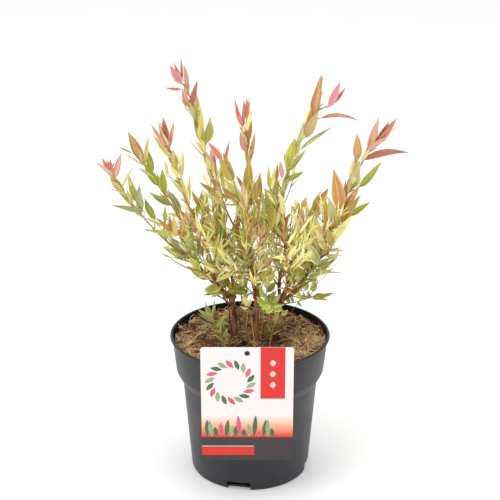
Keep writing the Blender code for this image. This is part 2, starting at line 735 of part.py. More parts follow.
def make_foliage(limbs, shoots, finish):
    """One solid for each shoot: its twigs with their leaves fused on."""
    space = Space(limbs, shoots)
    for number, (name, (axis, branches)) in enumerate(shoots.items()):
        rng = random.Random(SEED * 1000 + number)
        lines = lay_out_twigs(name, axis, branches, space, rng)
        leaves = deal_leaves(name, lines, space, rng)
        pieces = []
        for points, foot, *_ in lines:
            steps = len(points) - 1
            radii = [(foot + (SHOOT_TIP_RADIUS - foot) * step / steps) * MM for step in range(steps + 1)]
            pieces.append(object_from(name, tube(points, radii, 3, points[1] - points[0]), finish))
        for parts in leaves:
            pieces.append(object_from(name + " leaf", leaf(*parts), finish))
        pieces[0].name = name
        join_all(pieces[0], pieces[1:], SOLVER)
        print(name, len(lines), "twigs", len(leaves), "leaves")


def main():
    clear_scene()
    plastic = material("pot_plastic", (0.045, 0.045, 0.050), 0.45)
    black = material("clip_plastic", (0.012, 0.012, 0.013), 0.4)
    soil = material("compost", (0.035, 0.022, 0.014), 0.95)
    fibre = material("coir_fibre", (0.20, 0.12, 0.06), 0.95)
    paper = material("card_stock", (0.85, 0.80, 0.78), 0.4)
    bark = material("bark", (0.16, 0.08, 0.04), 0.75)
    leaves = material("leaves", (0.45, 0.50, 0.16), 0.55)
    make_pot(plastic)
    make_compost(soil)
    make_coir(fibre)
    make_card(paper)
    make_clip(black)
    limbs = lay_out_limbs()
    make_limbs(limbs, bark)
    make_foliage(limbs, lay_out_shoots(limbs), leaves)


main()
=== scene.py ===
"""A potted flamingo dappled willow, dressed over its solid model: pot, coir, label card, bark and leaves.

Metres, +Z up, in the frame of the solid model. Every shoot grows on from its bough by the same seeded
rule as the model's, with finer twigs and more leaves.
"""
import math
import random
from typing import NamedTuple

import bmesh
import bpy
import numpy as np
from bpy.props import FloatProperty, FloatVectorProperty, IntProperty, PointerProperty
from mathutils import Matrix, Vector, noise


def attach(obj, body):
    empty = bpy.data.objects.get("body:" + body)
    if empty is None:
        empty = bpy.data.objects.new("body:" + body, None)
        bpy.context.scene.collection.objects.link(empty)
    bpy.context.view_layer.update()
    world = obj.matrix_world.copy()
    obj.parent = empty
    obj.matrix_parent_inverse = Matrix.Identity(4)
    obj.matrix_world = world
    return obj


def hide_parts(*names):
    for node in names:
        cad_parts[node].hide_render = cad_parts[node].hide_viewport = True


bl_info = {
    "name": "Potted dappled willow",
    "version": (1, 0, 0),
    "blender": (4, 5, 0),
    "location": "3D View > Sidebar > Willow",
    "description": "Builds a potted dappled willow with its pot, coir, label card, bark and leaves",
    "category": "Add Mesh",
}

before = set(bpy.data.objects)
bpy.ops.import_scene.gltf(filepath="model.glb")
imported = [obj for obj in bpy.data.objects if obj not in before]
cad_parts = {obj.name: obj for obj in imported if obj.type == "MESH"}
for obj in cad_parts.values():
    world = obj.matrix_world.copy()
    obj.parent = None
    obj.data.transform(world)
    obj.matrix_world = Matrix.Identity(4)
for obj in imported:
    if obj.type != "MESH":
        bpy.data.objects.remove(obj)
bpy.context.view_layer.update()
BODY = "root"
MM = 0.001
CLEARANCE = 0.3 * MM

# Camera, fitted to the pot's ellipses and the card's corners: metres, degrees and millimetres
CAMERA_HEIGHT = 0.812
CAMERA_DISTANCE = 1.358
CAMERA_PITCH = 21.37
CAMERA_LENS = 90
SENSOR_WIDTH = 36

# Studio lights: name, place and edge in metres, power in watts
LIGHTS = (("key_light", (-1.1, -1.1, 1.6), 1.0, 12), ("fill_light", (1.3, -1.3, 1.0), 1.2, 6),
          ("top_light", (0, 0.3, 2.0), 1.6, 7))

# Places where the photo shows sky through the crown, in the front view: x, z and radius in millimetres
OPEN_SKY = (
    (-143, 387, 5), (-142, 342, 3), (-131, 324, 4), (-124, 371, 7), (-115, 358, 6), (-109, 406, 5),
    (-107, 335, 6), (-104, 325, 4), (-102, 389, 9), (-96, 347, 3), (-96, 321, 3), (-93, 362, 4.5),
    (-86, 323, 4), (-85, 416, 5), (-79, 406, 7), (-79, 338, 2.5), (-76, 430, 11), (-69, 496, 5),
    (-68, 396, 6), (-69, 468, 2.5), (-67, 382, 8), (-65, 479, 4.5), (-64, 368, 5), (-63, 358, 4),
    (-52, 379, 4), (-38, 414, 5), (-33, 456, 14), (-30, 431, 13), (-19, 402, 8), (-15, 388, 6),
    (-15, 362, 3), (-12, 374, 3), (-125, 312, 7), (-115, 311, 5), (-108, 293, 8), (-105, 308, 3.5),
    (-98, 292, 6), (-90, 268, 6), (-86, 255, 10), (-83, 265, 5), (-76, 250, 5), (-67, 326, 2.5),
    (-66, 238, 7), (-65, 341, 2.5), (-63, 297, 3), (-55, 273, 3), (-48, 280, 2.5), (-45, 340, 3.5),
    (-44, 269, 2.5), (-44, 220, 4), (-40, 274, 3), (-31, 222, 3), (-29, 341, 3), (-23, 312, 3.5),
    (-22, 322, 4.5), (-20, 334, 4.5), (-18, 221, 2.5), (-12, 313, 2.5), (-1, 239, 2.5), (4, 233, 4),
    (5, 283, 2.5), (6, 256, 3.5), (10, 346, 3.5), (12, 434, 7), (14, 391, 9), (17, 366, 4.5),
    (19, 227, 3), (20, 411, 12), (20, 277, 2), (24, 392, 7), (27, 265, 3.5), (29, 284, 2.5), (33, 406, 6),
    (35, 251, 4.5), (36, 244, 3), (39, 290, 4), (41, 281, 3), (42, 431, 11), (43, 329, 5), (46, 353, 7),
    (46, 341, 5), (46, 311, 6), (46, 268, 2.5), (47, 298, 3.5), (53, 243, 2.5), (54, 450, 8),
    (54, 213, 4), (55, 386, 4), (58, 339, 3), (59, 227, 3), (60, 468, 12), (63, 325, 2.5), (64, 357, 13),
    (66, 480, 8), (66, 389, 8), (66, 233, 4.5), (73, 338, 3), (74, 408, 6), (82, 368, 7), (82, 325, 4),
    (84, 398, 13), (85, 234, 4), (88, 449, 3), (88, 437, 4.5), (89, 270, 3.5), (93, 241, 9),
    (95, 262, 2.5), (96, 418, 10), (104, 405, 11), (104, 270, 4), (106, 290, 4.5), (107, 376, 4),
    (110, 387, 7), (110, 262, 9), (111, 411, 6), (112, 371, 3), (113, 430, 10), (118, 297, 9),
    (121, 311, 8), (128, 420, 6), (128, 406, 4.5), (130, 345, 3.5), (131, 382, 3.5), (138, 388, 7),
    (141, 402, 3), (147, 388, 7), (148, 434, 3.5), (152, 406, 4.5), (162, 414, 7),
)
SEED = 7

# Pot
POT_HEIGHT = 175 * MM
FOOT_RADIUS = 71.8 * MM
BODY_TOP_RADIUS = 81.0 * MM
BODY_TOP_HEIGHT = 117 * MM
COLLAR_FOOT_RADIUS = 88.7 * MM
COLLAR_FOOT_HEIGHT = 131.5 * MM
COLLAR_TOP_RADIUS = 93.0 * MM
COLLAR_TOP_HEIGHT = 171.5 * MM
RIM_RADIUS = 95.5 * MM
WALL = 1.6 * MM
FLOOR = 2.5 * MM
FOOT_CORNER = 2.4 * MM
POT_SEGMENTS = 144
STEP_POINTS = 6
STEP_BULGE = 0.2
BEAD_TURNS = (-60, -38, -16, 6, 28, 50, 72, 94, 116, 140)
NOTCH_WIDTH = 28.5 * MM
NOTCH_HEIGHT = 10.5 * MM
NOTCH_DEPTH_RADIUS = 64 * MM
NOTCH_BEARING = -101

# Coir
COIR_BOTTOM = 145 * MM
COIR_TOP = 157 * MM
COIR_RADIUS = 88 * MM
COIR_FLAT_RADIUS = 40 * MM
COIR_SWELL = 8 * MM
COIR_LUMP = 1.6 * MM
COIR_SEGMENTS = 128
COIR_RINGS = 44
STRAND_POINTS = 5
COIR_WALL_RADIUS = 89.6 * MM

# Label card
CARD_WIDTH = 105 * MM
CARD_HEIGHT = 148 * MM
CARD_THICKNESS = 0.6 * MM
CARD_CORNER = 3 * MM
CARD_X = -3.2 * MM
CARD_TOP = 202 * MM
CARD_TILT = math.radians(2.2)
CARD_BACK_AT_TOP = -96.9 * MM

# Stems: name, foot (x, y) on the coir, head (x, y, z), foot radius, in millimetres
STEMS = [
    ("stem_left", (-18, 26), (-21, 24, 211), 2.9),
    ("stem_centre", (7, 14), (8, 14, 216), 3.4),
    ("stem_right", (17, 26), (37, 25, 204), 2.8),
]
STEM_FLARE = 1.6
STEM_HEAD_RADIUS = 5.2
STEM_TAPER = 0.12

# Boughs: name, stem that carries it, tip (x, y, z) in millimetres
BOUGHS = [
    ("bough_left_outer", "stem_left", (-62, 20, 256)),
    ("bough_left_upright", "stem_left", (-30, 14, 274)),
    ("bough_left_back", "stem_left", (-40, 58, 262)),
    ("bough_left_front", "stem_left", (-44, -18, 258)),
    ("bough_centre_upright", "stem_centre", (-4, 20, 284)),
    ("bough_centre_front", "stem_centre", (2, -28, 264)),
    ("bough_centre_back", "stem_centre", (16, 62, 270)),
    ("bough_right_upright", "stem_right", (42, 20, 278)),
    ("bough_right_outer", "stem_right", (72, 8, 256)),
    ("bough_right_front", "stem_right", (46, -22, 258)),
    ("bough_right_back", "stem_right", (62, 58, 244)),
]
BOUGH_FOOT_RADIUS = 2.2
BOUGH_TIP_RADIUS = 1.5
BOUGH_KNOT_RADIUS = 2.6
BOUGH_ANGLE_APART = 58

# Shoots: name, bough, tip, side tips as (share of the way, tip), and leaf tones from foot to tip.
# The letters are those of LEAF_TONES, such as k coral, p dusty pink, r rust, o ochre, c cream, l lime.
SHOOTS = [
    ("foliage_left_far", "bough_left_outer", (-170, 0, 396), [(0.80, (-146, -4, 399))], "lgsggok"),
    ("foliage_left_high", "bough_left_outer", (-141, 45, 409), [], "lclgclork"),
    ("foliage_left_top", "bough_left_upright", (-77, 20, 503), [], "lclocclgrk"),
    ("foliage_left_middle", "bough_left_upright", (-98, -30, 450), [], "lcoclcok"),
    ("foliage_left_inner", "bough_left_upright", (-34, -12, 338), [], "lgyjo"),
    ("foliage_back_left", "bough_left_back", (-64, 105, 328), [], "lgylg"),
    ("foliage_back_far_left", "bough_left_back", (-118, 92, 348), [], "glgyo"),
    ("foliage_front_left", "bough_left_front", (-69, -90, 364), [(0.60, (-112, -82, 335))], "lclork"),
    ("foliage_low_left", "bough_left_front", (-98, -66, 306), [], "glglg"),
    ("foliage_centre_left", "bough_centre_upright", (-45, -25, 416), [], "lylcoop"),
    ("foliage_centre_top", "bough_centre_upright", (-4, 35, 455), [], "lclocrck"),
    ("foliage_centre_inner", "bough_centre_upright", (14, -16, 374), [], "jyjln"),
    ("foliage_centre_front", "bough_centre_front", (-11, -80, 398), [], "lclocr"),
    ("foliage_low_front", "bough_centre_front", (-51, -95, 304), [], "lgll"),
    ("foliage_back_centre", "bough_centre_back", (34, 105, 353), [], "lygly"),
    ("foliage_back_middle", "bough_centre_back", (-25, 125, 330), [], "lgylo"),
    ("foliage_right_top", "bough_right_upright", (80, 5, 486),
     [(0.76, (104, 5, 480))], "lclgglscr"),
    ("foliage_right_inner", "bough_right_upright", (86, 60, 330), [], "lgcor"),
    ("foliage_right_middle", "bough_right_upright", (40, -14, 348), [], "lyclc"),
    ("foliage_right_far", "bough_right_outer", (164, -10, 438),
     [(0.30, (97, 8, 380)), (0.50, (119, -14, 428)), (0.70, (143, -10, 442))],
     "lcocrlpk"),
    ("foliage_right_low", "bough_right_outer", (106, -34, 290), [], "lcsc"),
    ("foliage_front_right", "bough_right_front", (60, -72, 366), [], "lyjljq"),
    ("foliage_front_far_right", "bough_right_front", (41, -115, 356), [], "lyjlj"),
    ("foliage_back_low", "bough_right_back", (104, 52, 212), [(0.40, (106, 72, 240))], "lgl"),
    ("foliage_back_right", "bough_right_back", (84, 122, 330), [], "lgyog"),
    ("foliage_soil_left", None, (-54, -34, 229), [], "uzu"),
    ("foliage_soil_centre", None, (34, -8, 212), [(0.55, (10, -14, 204))], "lgl"),
]
# Places that a shoot passes on its way where it doesn't run straight
SHOOT_BENDS = {
    "foliage_right_top": [(36, 15, 316), (36, 8, 350), (44, 3, 382), (57, 3, 412)],
    "foliage_right_far": [(84, 6, 276), (94, 5, 300), (105, 3, 328), (114, 0, 355), (121, -4, 382), (131, -8, 401)],
}
SOIL_SHOOT_FEET = {"foliage_soil_left": (-28, -25), "foliage_soil_centre": (24, 0)}

# Thin leafy shoots too fine for the solid model: name and the points that each passes
THIN_SHOOTS = [
    ("thin_centre_left", [(-2, 18, 286), (-9, 8, 330), (-16, -3, 353), (-19, -13, 373), (-27, -24, 395)]),
    ("thin_right_side", [(41, 20, 279), (34, 15, 310), (30, 10, 335), (37, 5, 358), (43, 0, 380)]),
    ("thin_right_low", [(39, 25, 201), (51, 28, 201), (64, 31, 203), (78, 34, 207)]),
    ("thin_left_low", [(-22, 24, 200), (-34, 15, 214), (-43, 6, 225)]),
    ("thin_sucker", [(-4, -8, 176), (-5, -9, 193), (-1, -11, 214), (-6, -12, 225)]),
    ("thin_centre_low", [(13, 6, 160), (17, 1, 209), (20, 2, 226), (22, 4, 246)]),
    ("thin_soil_star", [(22, -4, 172), (21, -8, 192), (25, -12, 216)]),
]
THIN_SHOOT_RADIUS = 0.9
CREAM_SHOOTS = ("lcocrlpk", "lcoclcok")
OPEN_SHOOTS = ("foliage_low_left", "foliage_right_low", "foliage_centre_left")

OUTER_BOUGHS = ("bough_left_outer", "bough_left_front", "bough_right_front")

# Leaves that show in the front view, by the limb that carries them: foot x and z, tip x and z, width,
# leaf tone, and for an arched leaf its rise to the left as a share of its length
PLACED_LEAVES = {
    "foliage_left_far": [
        (-156, 368, -169, 392, 5.7, "k"), (-157, 371, -162, 390, 5.7, "k"),
        (-156, 371, -159, 392, 4, "k"), (-154, 368, -146, 399, 5.7, "p"),
        (-148, 353, -160, 371, 6.9, "o"), (-147, 356, -132, 385, 2.5, "s"),
        (-128, 338, -165, 356, 2.5, "s", -0.07), (-130, 339, -139, 375, 6.9, "g"),
        (-125, 329, -126, 362, 10, "u"), (-122, 328, -161, 334, 8.1, "u", -0.05),
        (-110, 317, -122, 343, 8.1, "g"), (-75, 273, -93, 292, 7.1, "u"), (-72, 264, -104, 279, 8.3, "g"),
        (-64, 258, -67, 282, 5.9, "g"), (-91, 297, -124, 304, 4.2, "u"), (-68, 264, -76, 288, 6.3, "l"),
        (-63, 268, -71, 292, 5.4, "u"), (-71, 280, -85, 295, 3.5, "u")],
    "foliage_left_high": [
        (-126, 375, -142, 411, 9.4, "r"), (-126, 377, -134, 404, 7, "o"),
        (-123, 371, -118, 406, 4.7, "s"), (-115, 362, -120, 392, 7, "g"),
        (-122, 369, -149, 387, 1.9, "s"), (-137, 385, -156, 394, 1.9, "s"),
        (-108, 345, -125, 375, 8.2, "g"), (-102, 335, -103, 367, 8.3, "g"),
        (-92, 322, -120, 339, 7.1, "u"), (-81, 309, -96, 343, 5.9, "u"), (-83, 312, -92, 339, 7.1, "u"),
        (-76, 302, -86, 320, 5.9, "q"), (-71, 295, -66, 323, 5.9, "c"), (-59, 264, -63, 289, 4.8, "g")],
    "foliage_left_top": [
        (-77, 473, -90, 495, 7.6, "i"), (-78, 475, -85, 498, 4.5, "i"), (-76, 478, -77, 504, 2.5, "k"),
        (-72, 461, -72, 484, 5.7, "t"), (-77, 467, -97, 468, 3.4, "k"), (-70, 446, -77, 466, 5.7, "p"),
        (-69, 442, -59, 477, 5.7, "v"), (-66, 434, -84, 464, 1.5, "s"), (-55, 410, -58, 452, 5.7, "l"),
        (-62, 418, -60, 462, 6.9, "b"), (-51, 398, -65, 433, 9.2, "l"), (-50, 402, -46, 434, 9.2, "g"),
        (-50, 380, -71, 405, 1.9, "s"), (-43, 362, -45, 393, 9.3, "l"), (-49, 373, -54, 398, 5.8, "l"),
        (-39, 346, -43, 362, 5.3, "k"), (-38, 290, -40, 325, 8.3, "o")],
    "foliage_left_middle": [
        (-92, 409, -96, 447, 8.9, "r"), (-94, 414, -110, 441, 4.4, "k"), (-94, 418, -101, 443, 3.9, "q"),
        (-91, 409, -84, 442, 4.4, "k"), (-87, 399, -108, 426, 8.2, "c"), (-81, 390, -89, 408, 6.7, "o"),
        (-83, 377, -87, 398, 6.8, "o"), (-78, 374, -75, 408, 5.6, "c"), (-73, 351, -93, 380, 6.8, "c"),
        (-70, 339, -79, 375, 6.9, "c"), (-71, 333, -68, 377, 4.6, "c"), (-62, 327, -54, 356, 5.7, "g"),
        (-60, 313, -70, 336, 5.8, "o"), (-56, 305, -51, 333, 5.8, "l"), (-42, 290, -49, 318, 5.8, "o"),
        (-47, 291, -55, 313, 7, "o"), (-53, 329, -51, 356, 8, "g"), (-56, 336, -67, 356, 5.7, "r"),
        (-92, 376, -96, 396, 3.6, "c")],
    "foliage_left_inner": [
        (-33, 295, -28, 330, 5.8, "e"), (-20, 277, -26, 299, 5.9, "g")],
    "foliage_front_left": [
        (-92, 336, -119, 349, 2.7, "s"), (-87, 333, -103, 348, 3.3, "r"), (-82, 326, -95, 337, 3.3, "l"),
        (-93, 340, -92, 363, 3.8, "g"), (-55, 328, -60, 350, 4.4, "c"), (-82, 326, -102, 347, 4.4, "r"),
        (-86, 329, -88, 351, 4.4, "r"), (-81, 326, -84, 350, 5.5, "o"), (-77, 323, -69, 357, 4.4, "r"),
        (-71, 319, -73, 338, 8.8, "g"), (-88, 324, -117, 331, 4.4, "g", -0.14)],
    "foliage_low_left": [
        (-38, 260, -50, 280, 5.8, "g"), (-46, 253, -68, 252, 2.1, "s", -0.08),
        (-58, 267, -69, 284, 6.9, "l")],
    "foliage_centre_left": [
        (-32, 366, -53, 380, 1.8, "s"), (-25, 347, -59, 365, 8, "n"), (-15, 286, -14, 323, 5.9, "r")],
    "foliage_centre_top": [
        (-8, 418, -18, 453, 5.2, "k"), (-7, 420, -8, 451, 3.5, "k"), (-5, 420, -2, 456, 3.5, "k"),
        (-2, 402, 2, 427, 4.6, "r"), (-5, 389, -9, 419, 8.1, "p"), (-2, 389, -5, 425, 5.8, "r"),
        (0, 379, 6, 413, 4.7, "r"), (-2, 343, -1, 382, 9.4, "o"), (1, 340, -3, 370, 7, "l"),
        (-8, 345, -16, 361, 4.1, "k"), (2, 324, -5, 350, 5.9, "o")],
    "foliage_centre_inner": [
        (6, 344, 12, 378, 7.4, "n"), (5, 305, 6, 336, 5.8, "l"), (8, 299, -8, 324, 8.2, "q"),
        (-1, 303, -8, 314, 4.7, "l"), (14, 309, 21, 353, 4.1, "s"), (16, 312, 15, 353, 3.5, "s"),
        (19, 300, 23, 334, 4.7, "c"), (7, 348, 10, 374, 4.1, "n"), (2, 350, 5, 369, 3.7, "r")],
    "foliage_centre_front": [
        (-6, 344, -21, 348, 2.2, "s"), (-5, 290, 0, 317, 6.8, "r"), (2, 279, -2, 306, 5.7, "r")],
    "foliage_low_front": [
        (-10, 264, -15, 280, 4.6, "g")],
    "foliage_right_top": [
        (69, 436, 79.5, 487, 9, "r"), (62.5, 416, 77.5, 448, 9.8, "b"), (64, 417, 69, 451, 5.7, "r"),
        (88, 451, 101, 480, 7.5, "i"), (93, 455, 107, 472, 3.9, "v"), (79, 438, 123, 434, 3.9, "v", 0.13),
        (57, 402, 94, 428, 3.7, "u", 0.03), (54, 402, 61, 435, 4.6, "s"), (43, 375, 64, 402, 5.7, "s"),
        (55, 395, 50, 416, 4.6, "c"), (55, 317, 57, 335, 4.7, "g")],
    "foliage_right_inner": [
        (57, 297, 49, 323, 6.6, "q"), (72, 297, 75, 322, 7.2, "l"), (77, 303, 93, 341, 11.5, "r", 0.04)],
    "foliage_right_middle": [
        (35, 306, 46, 326, 7, "r"), (36, 304, 56, 301, 3.5, "g", 0.12), (25, 306, 30, 335, 4.6, "l"),
        (39, 290, 43, 313, 5.8, "c"), (47, 273, 42, 301, 5.9, "s"), (30, 312, 34, 338, 4.6, "c")],
    "foliage_right_far": [
        (121, 392, 120, 424, 8.6, "q"), (121.5, 359, 121.5, 400, 12.6, "s"), (134, 400, 144, 442, 7.9, "p"),
        (141, 409, 156, 438, 5.6, "v"), (142, 410, 164, 438, 6.7, "k"),
        (127, 392, 180, 400, 6.8, "v", 0.1), (125, 358, 150, 389, 7.4, "g"),
        (112, 352, 117, 380, 9.1, "g"), (108, 341, 109, 366, 3.5, "p"), (108, 329, 126, 360, 7.5, "q"),
        (102, 312, 128, 347, 9.3, "n"), (114, 322, 139, 339, 7, "g"), (104, 330, 95, 379, 13.4, "q"),
        (100, 307, 90, 345, 10.5, "s"), (92, 300, 87, 342, 8.2, "o"), (94, 290, 119, 322, 8.5, "j"),
        (96, 282, 91, 307, 8.2, "o"), (85, 279, 71, 303, 7, "c"), (90, 277, 77, 308, 8.2, "c"),
        (91, 272, 83, 291, 7.1, "p"), (83, 274, 114, 275, 6.3, "c", 0.14), (90, 290, 110, 308, 5.8, "c"),
        (89, 286, 69, 305, 5.8, "c", 0.05), (89, 287, 79, 314, 6.4, "c"), (80, 282, 64, 293, 4.7, "c"),
        (84, 292, 73, 326, 5.2, "c"), (96, 302, 104, 327, 5.8, "q"), (93, 297, 87, 322, 5.8, "o"),
        (80, 278, 73, 263, 4.7, "g"), (87, 278, 95, 268, 4.7, "u")],
    "foliage_right_low": [
        (82, 263, 65, 294, 10.5, "s"), (74, 256, 63, 284, 7.1, "e"), (80, 255, 103, 271, 4.7, "g"),
        (68, 258, 98, 260, 5.4, "s", 0.06), (77, 264, 99, 274, 3.5, "u")],
    "foliage_front_right": [
        (58, 353, 63, 363, 5.5, "r")],
    "foliage_soil_left": [
        (-44, 202, -52, 229, 7, "u"), (-47, 208, -63, 221, 3.5, "u"), (-43, 208, -41, 232, 3.5, "u"),
        (-40, 195, -58, 204, 5.3, "u"), (-40, 194, -29, 212, 6.4, "g"), (-31, 180, -27, 193, 4.7, "u"),
        (-35, 185, -45, 195, 3.5, "u"), (-45, 212, -48, 223, 3.5, "l")],
    "foliage_soil_centre": [
        (37, 199, 45, 208, 4.7, "l"), (34, 193, 26, 199, 4.8, "g")],
    "bough_left_outer": [
        (-51, 234, -75, 252, 7.2, "s")],
    "bough_left_upright": [
        (-17, 259, -28, 279, 4.7, "l"), (-17, 220, -34, 233, 6, "l"), (-12, 217, -22, 233, 7.2, "h"),
        (-12, 220, -2, 235, 7.2, "f"), (-28, 213, -12, 229, 6.7, "l"), (-25, 219, -17, 237, 5.5, "h"),
        (-29, 223, -39, 238, 6.2, "g"), (-31, 215, -44, 221, 5.5, "l")],
    "bough_left_front": [
        (-35, 245, -55, 269, 8.2, "r"), (-33, 242, -54, 230, 8.2, "g", 0.08),
        (-37, 229, -56, 224, 5, "g"), (-42, 241, -54, 233, 4.7, "g")],
    "bough_centre_upright": [
        (-8, 269, -13, 292, 9.5, "b"), (-7, 283, -14, 306, 6.5, "q"), (-2, 222, -26, 221, 7.2, "g"),
        (-4, 220, -10, 205, 6, "c")],
    "bough_right_outer": [
        (63, 237, 52, 262, 9.5, "l"), (67, 236, 58, 260, 7.1, "s"), (73, 245, 100, 253, 5.9, "s"),
        (60, 231, 42, 221, 4.8, "r"), (69, 223, 59, 241, 7.2, "s"), (70, 235, 81, 247, 5.5, "l"),
        (62, 223, 55, 239, 5.5, "l")],
    "thin_centre_left": [
        (-31, 398, -47, 419, 6.7, "k"), (-27, 398, -23, 420, 3.3, "k"), (-25, 391, -30, 406, 5.6, "o"),
        (-18, 370, -25, 396, 6.8, "s"), (-32, 351, -38, 363, 4.6, "p"), (-18, 343, -33, 359, 5.7, "r"),
        (-8, 337, -30, 367, 9.2, "l"), (-14, 335, -33, 336, 2.3, "s"), (-5, 327, -16, 348, 5.8, "s"),
        (-21, 368, -35, 401, 8.4, "o"), (-30, 358, -34, 385, 4.3, "l")],
    "thin_right_side": [
        (42, 378, 50, 417, 10.2, "g"), (41, 365, 62, 376, 5.7, "g"), (29, 342, 31, 366, 6.9, "g"),
        (23, 323, 17, 353, 4.7, "s"), (30, 365, 31, 385, 4.6, "k"), (37, 368, 34, 389, 4.6, "p"),
        (22, 355, 21, 379, 3.7, "l")],
    "thin_right_low": [
        (76, 204, 103, 211, 7.3, "g", 0.08), (75, 208, 97, 201, 4.9, "l"), (76, 213, 78, 231, 7.3, "l"),
        (65, 203, 65, 215, 3.6, "s"), (70, 205, 71, 216, 3.6, "g"), (58, 201, 63, 195, 3, "s"),
        (52, 202, 49, 214, 3.6, "s"), (78, 207, 91, 210, 4.9, "g"), (62, 205, 53, 219, 6, "f"),
        (48, 201, 42, 214, 4.8, "s"), (74, 208, 58, 203, 3.6, "s")],
    "thin_left_low": [
        (-34, 214, -44, 221, 3, "s"), (-38, 220, -47, 216, 3, "s"), (-29, 209, -34, 223, 3.6, "g")],
    "thin_sucker": [
        (-2, 214, -8, 229, 6.5, "w"), (-2, 211, -13, 214, 4.1, "w"), (-1, 213, 2, 227, 3.5, "y")],
    "thin_soil_star": [
        (25, 217, 7, 221, 7.7, "z"), (25, 216, 13, 211, 6.5, "z"), (25, 214, 19, 204, 7.7, "z"),
        (26, 214, 31, 203, 6.5, "z"), (27, 214, 39, 208, 7.7, "z"), (27, 216, 41, 217, 5.1, "z"),
        (26, 218, 36, 230, 6.5, "u"), (25, 218, 27, 234, 6.5, "u"), (24, 218, 14, 230, 5.1, "z"),
        (24, 217, 9, 215, 5.1, "z"), (26, 216, 34, 212, 5.1, "u")],
    "thin_centre_low": [
        (18, 216, 32, 229, 7.1, "u"), (19, 220, 11, 235, 7.1, "h"), (20, 226, 31, 241, 7.1, "g"),
        (21, 234, 14, 249, 6.5, "f"), (21, 239, 29, 254, 6.5, "h"), (18, 213, 7, 222, 5.9, "f"),
        (22, 246, 21, 263, 6.5, "l"), (20, 230, 21, 246, 5.9, "j")],
}

# Bare twigs: tone, radius and the points that each passes
BARE_TWIGS = [
    ("brown", 0.45, [(46, 20, 162), (103, 0, 266)]),
    ("brown", 0.9, [(-3, -12, 157), (-12, 0, 214)]),
    ("tan", 0.7, [(6, -16, 157), (0, -2, 204)]),
    ("brown", 0.7, [(24, -6, 157), (17, -14, 186)]),
    ("brown", 0.9, [(8, 30, 157), (16, 44, 226)]),
    ("bark", 0.7, [(-12, 40, 157), (-30, 52, 206)]),
    ("olive", 1, [(-7.4, 35.9, 157), (-7, 34, 166), (-7.9, 32, 179), (-9.7, 28, 200.8), (-11.4, 24, 219.6), (-11.9, 20, 240.8)]),
    ("brown", 1.6, [(9, 10, 156), (9.5, 11, 190), (8, 14, 214)]),
    ("rust", 0.8, [(32.1, 21.6, 157), (27.9, 20, 172.5)]),
    ("tan", 0.6, [(2.4, 21.6, 157), (-3.6, 20, 168.5), (-1.2, 21, 174.7), (3.7, 24, 163.9)]),
    ("pale", 0.4, [(-45.5, 24.5, 158), (-45.4, 24, 170.6)]),
    ("pale", 0.4, [(-64, 46, 161), (-65, 47, 171)]),
    ("bark", 0.9, [(-24.3, 14, 208.6), (-29.8, 12, 219.5)]),
    ("bark", 0.9, [(-28.4, 14, 206.9), (-33.8, 12, 214.7)]),
    ("bark", 1, [(-22, 16, 157), (-25, 13, 200), (-30, 8, 232)]),
    ("brown", 0.8, [(26, 16, 157), (36, 8, 200), (44, 2, 226)]),
]

# Growth, in millimetres and degrees
AXIS_STEPS = 7
BRANCH_STEPS = 3
SHOOT_ANGLE_APART = 62
SHOOT_FOOT_RADIUS = 1.5
SHOOT_TIP_RADIUS = 0.6
BRANCH_FOOT_RADIUS = 1.1
FINE_TWIG_RADIUS = 0.8
FINE_TWIG_TIP_RADIUS = 0.4
TIP_LEAF_LENGTH = 37
FINE_TIP_LEAF_LENGTH = 22
TIP_IN_VIEW = 20
LEAF_TURN = 97
GOLDEN_TURN = 137.5
TWIG_STEPS = 7
LEAF_OFF_LIMB = 1.5
PLACED_WIDTH = 1.2

# Outline of a leaf blade along its length, and its thickness as a share of its half width and in metres
LEAF_FULLNESS = 3.70
LEAF_FOOT_POWER = 0.75
LEAF_TIP_POWER = 1.22
LEAF_LEAST_WIDTH = 0.07
LEAF_THICK_SHARE = 0.12
LEAF_THICKNESS = 0.08 * MM

# Fine twigs on a shoot: the share of it that they reach and their step, where these aren't the usual
FINE_TWIG_REACH = {"foliage_right_far": (0.3, 0.04)}
LEAFY_THIN_SHOOTS = ("thin_right_side",)


class LeafRule(NamedTuple):
    """How leaves sit along a line: spacing and lengths in millimetres, openings in degrees."""
    spacing: float
    first: float
    foot_length: float
    tip_length: float
    width_share: float
    opening: tuple
    bunch: tuple
    fine: bool = False
    in_depth: bool = False


FULL_RULE = LeafRule(19, 10, 25, 34, 0.20, (42, 16), ((2, 1.0), (12, 0.95), (15, 0.85), (22, 0.7)))
SIDE_RULE = LeafRule(15, 8, 28, 34, 0.20, (34, 16), ((2, 1.0), (12, 0.9), (18, 0.75)))
DEPTH_RULE = LeafRule(20, 14, 22, 30, 0.19, (40, 13), ((8, 0.85), (14, 0.7)), False, True)
FINE_RULE = LeafRule(6.4, 5, 17, 25, 0.142, (36, 18), ((4, 1.0), (18, 0.9)), True)
SOIL_RULE = LeafRule(16, 14, 16, 20, 0.2, (44, 24), ((4, 0.9), (16, 0.8)))


# Arrays to meshes

def mesh_object(name, mesh, replaces=()):
    """Link a mesh as a piece of the plant that rides on its body."""
    made = bpy.data.objects.new(name, mesh)
    bpy.context.scene.collection.objects.link(made)
    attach(made, BODY)
    if replaces:
        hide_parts(*replaces)
    return made


def mesh_from_bmesh(name, shape, smooth_angle=40):
    """Turn a bmesh into a smooth mesh with sharp edges past an angle, and free the bmesh."""
    mesh = bpy.data.meshes.new(name)
    shape.to_mesh(mesh)
    shape.free()
    mesh.shade_smooth()
    mesh.set_sharp_from_angle(angle=math.radians(smooth_angle))
    return mesh


